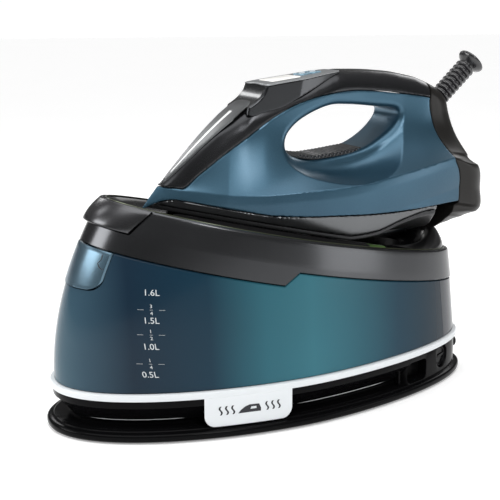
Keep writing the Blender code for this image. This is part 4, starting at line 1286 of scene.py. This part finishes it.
def build_bushings():
    for node, centre, r in BUSHINGS:
        profile = [(r * 0.5, -0.0140), (r, -0.0140), (r, 0.0026)]
        for z in (0.0029, 0.0040, 0.0051):
            profile += [(r, z), (r, z + 0.0005), (r * 0.88, z + 0.0007), (r * 0.88, z + 0.0010)]
        profile += [(r * 0.8, 0.0065), (r * 0.5, 0.0065)]
        rings = [[(q * cos(a), q * sin(a), z) for q, z in profile] for a in circle(56)]
        skin(node, ring_mesh(rings, closed=True), "rubber", "rubber", angle=35,
             move=FRAME_MOVE @ facing(centre, (1, 0, 0)))


def build_marks():
    """Volume marks up the tank: litre figures, quarter fractions and their short lines."""
    count = 0

    def mark(mesh, z):
        """Shear a mark to the lean of the printed column and lay it on the tank."""
        nonlocal count
        count += 1
        for vert in mesh.vertices:
            vert.co.x -= 0.22 * vert.co.y
            vert.co.y -= 0.05 * vert.co.x
        column_x = -0.1230 - 0.0733 * (0.1144 - z)
        mesh = wrap_mesh(mesh, angle_at(column_x, z), z, PRINT_T)
        piece("level_mark_%02d" % count, mesh, "ink", "tank", angle=60)

    def line(x0, x1, half, z):
        mark(flat_outline([(x0, -half), (x1, -half), (x1, half), (x0, half)]), z)

    for text, z in (("1.6L", 0.1144), ("1.5L", 0.0937), ("1.0L", 0.0742), ("0.5L", 0.0530)):
        mark(words(text, 0.0064, 1.12), z)
    for over, under, z in (("3", "4", 0.1018), ("1", "2", 0.0832), ("1", "4", 0.0613)):
        for text, rise in ((over, 0.0026), (under, -0.0026)):
            mesh = words(text, 0.0036, 1.2)
            mesh.transform(Matrix.Translation((0, rise, 0)))
            mark(mesh, z)
        line(-0.0011, 0.0011, 0.0001, z)
        for x in (-0.0104, 0.0058):
            line(x, x + 0.0046, 0.00009, z)


# ---------------------------------------------------------------- floor, light, camera


def build_floor():
    s = Surface("studio_floor", Roughness=0.6, Emission_Strength=0.27)
    tint = colour_ramp(s.tree, s.noise(3.0, 2.0), ((0.0, [0.93] * 3), (1.0, [0.96] * 3)))
    s.set(Base_Color=tint, Emission_Color=tint)
    size = 14.0
    mesh = bpy.data.meshes.new("floor")
    mesh.from_pydata([(-size, -size, 0), (size, -size, 0), (size, size, 0), (-size, size, 0)],
                     [], [(0, 1, 2, 3)])
    mesh.materials.append(s.mat)
    linked("floor", mesh)


def polar(azimuth, elevation):
    """Direction from angles in degrees, azimuth counted from +X."""
    a, e = radians(azimuth), radians(elevation)
    return Vector((cos(e) * cos(a), cos(e) * sin(a), sin(e)))


def build_lights():
    """White studio: white seen directly, dim grey in reflections, soft boxes for highlights."""
    world = bpy.data.worlds.new("studio")
    world.use_nodes = True
    tree = world.node_tree
    height = add(tree, "SeparateXYZ", Vector=add(tree, "TexCoord").outputs["Generated"])
    sky = add(tree, "MapRange", Value=height.outputs["Z"], From_Min=0.1, From_Max=1.0,
              To_Min=0.10, To_Max=0.45)
    direct = add(tree, "LightPath").outputs["Is Camera Ray"]
    level = add(tree, "Mix", Factor=direct, A=sky.outputs["Result"], B=1.02)
    fill(tree, tree.nodes["Background"], Color=(1, 1, 1, 1), Strength=level.outputs["Result"])
    bpy.context.scene.world = world
    sun = bpy.data.lights.new("sky_panel", "SUN")
    sun.energy = 1.7
    sun.angle = radians(60)
    linked("sky_panel", sun).rotation_euler = (radians(12), radians(-10), 0)
    middle, distance = Vector((0, 0, 0.15)), 1.4
    # name, azimuth and elevation in degrees, width and length, radiance
    for name, azimuth, elevation, size, radiance in (
            ("box_front", 168, 20, (0.70, 0.36), 7.5), ("box_hood", 140, 37, (0.35, 0.30), 3.0),
            ("box_flank", -91, 33, (0.30, 0.40), 11.0), ("box_side", -44, 2, (0.50, 0.34), 3.0),
            ("box_pod", 99, 26, (0.14, 0.34), 6.0), ("box_rear", 30, 30, (0.50, 0.50), 3.0),
            ("box_far", 90, 58, (0.50, 0.40), 3.0)):
        way = polar(azimuth, elevation)
        light = bpy.data.lights.new(name, "AREA")
        light.shape = "RECTANGLE"
        light.size, light.size_y = size
        light.energy = radiance * pi * size[0] * size[1]
        obj = linked(name, light)
        obj.location = middle + way * distance
        obj.rotation_euler = (-way).to_track_quat("-Z", "Y").to_euler()


def build_camera():
    """Viewpoint of the photograph."""
    target, distance = Vector((-0.0259, 0.0, 0.1256)), 0.837
    way = polar(-116, 13)
    camera = bpy.data.cameras.new("camera")
    camera.lens = 72.9
    camera.sensor_width = 36.0
    obj = linked("camera", camera)
    obj.location = target + way * distance
    obj.rotation_euler = (-way).to_track_quat("-Z", "Y").to_euler()
    bpy.context.scene.camera = obj


for build in (build_iron, build_pod_parts, build_boot, build_pad, build_plinth,
              build_groove_detail, build_strip_and_label, build_tank, build_door_notch,
              build_band, build_hood, build_tray, build_rests, build_knob, build_bushings,
              build_marks, build_floor, build_lights, build_camera):
    build()
for mat, nodes in HIDDEN:
    for node in nodes:
        dress(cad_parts[node].data, mat)
bpy.context.scene.view_settings.view_transform = "Standard"
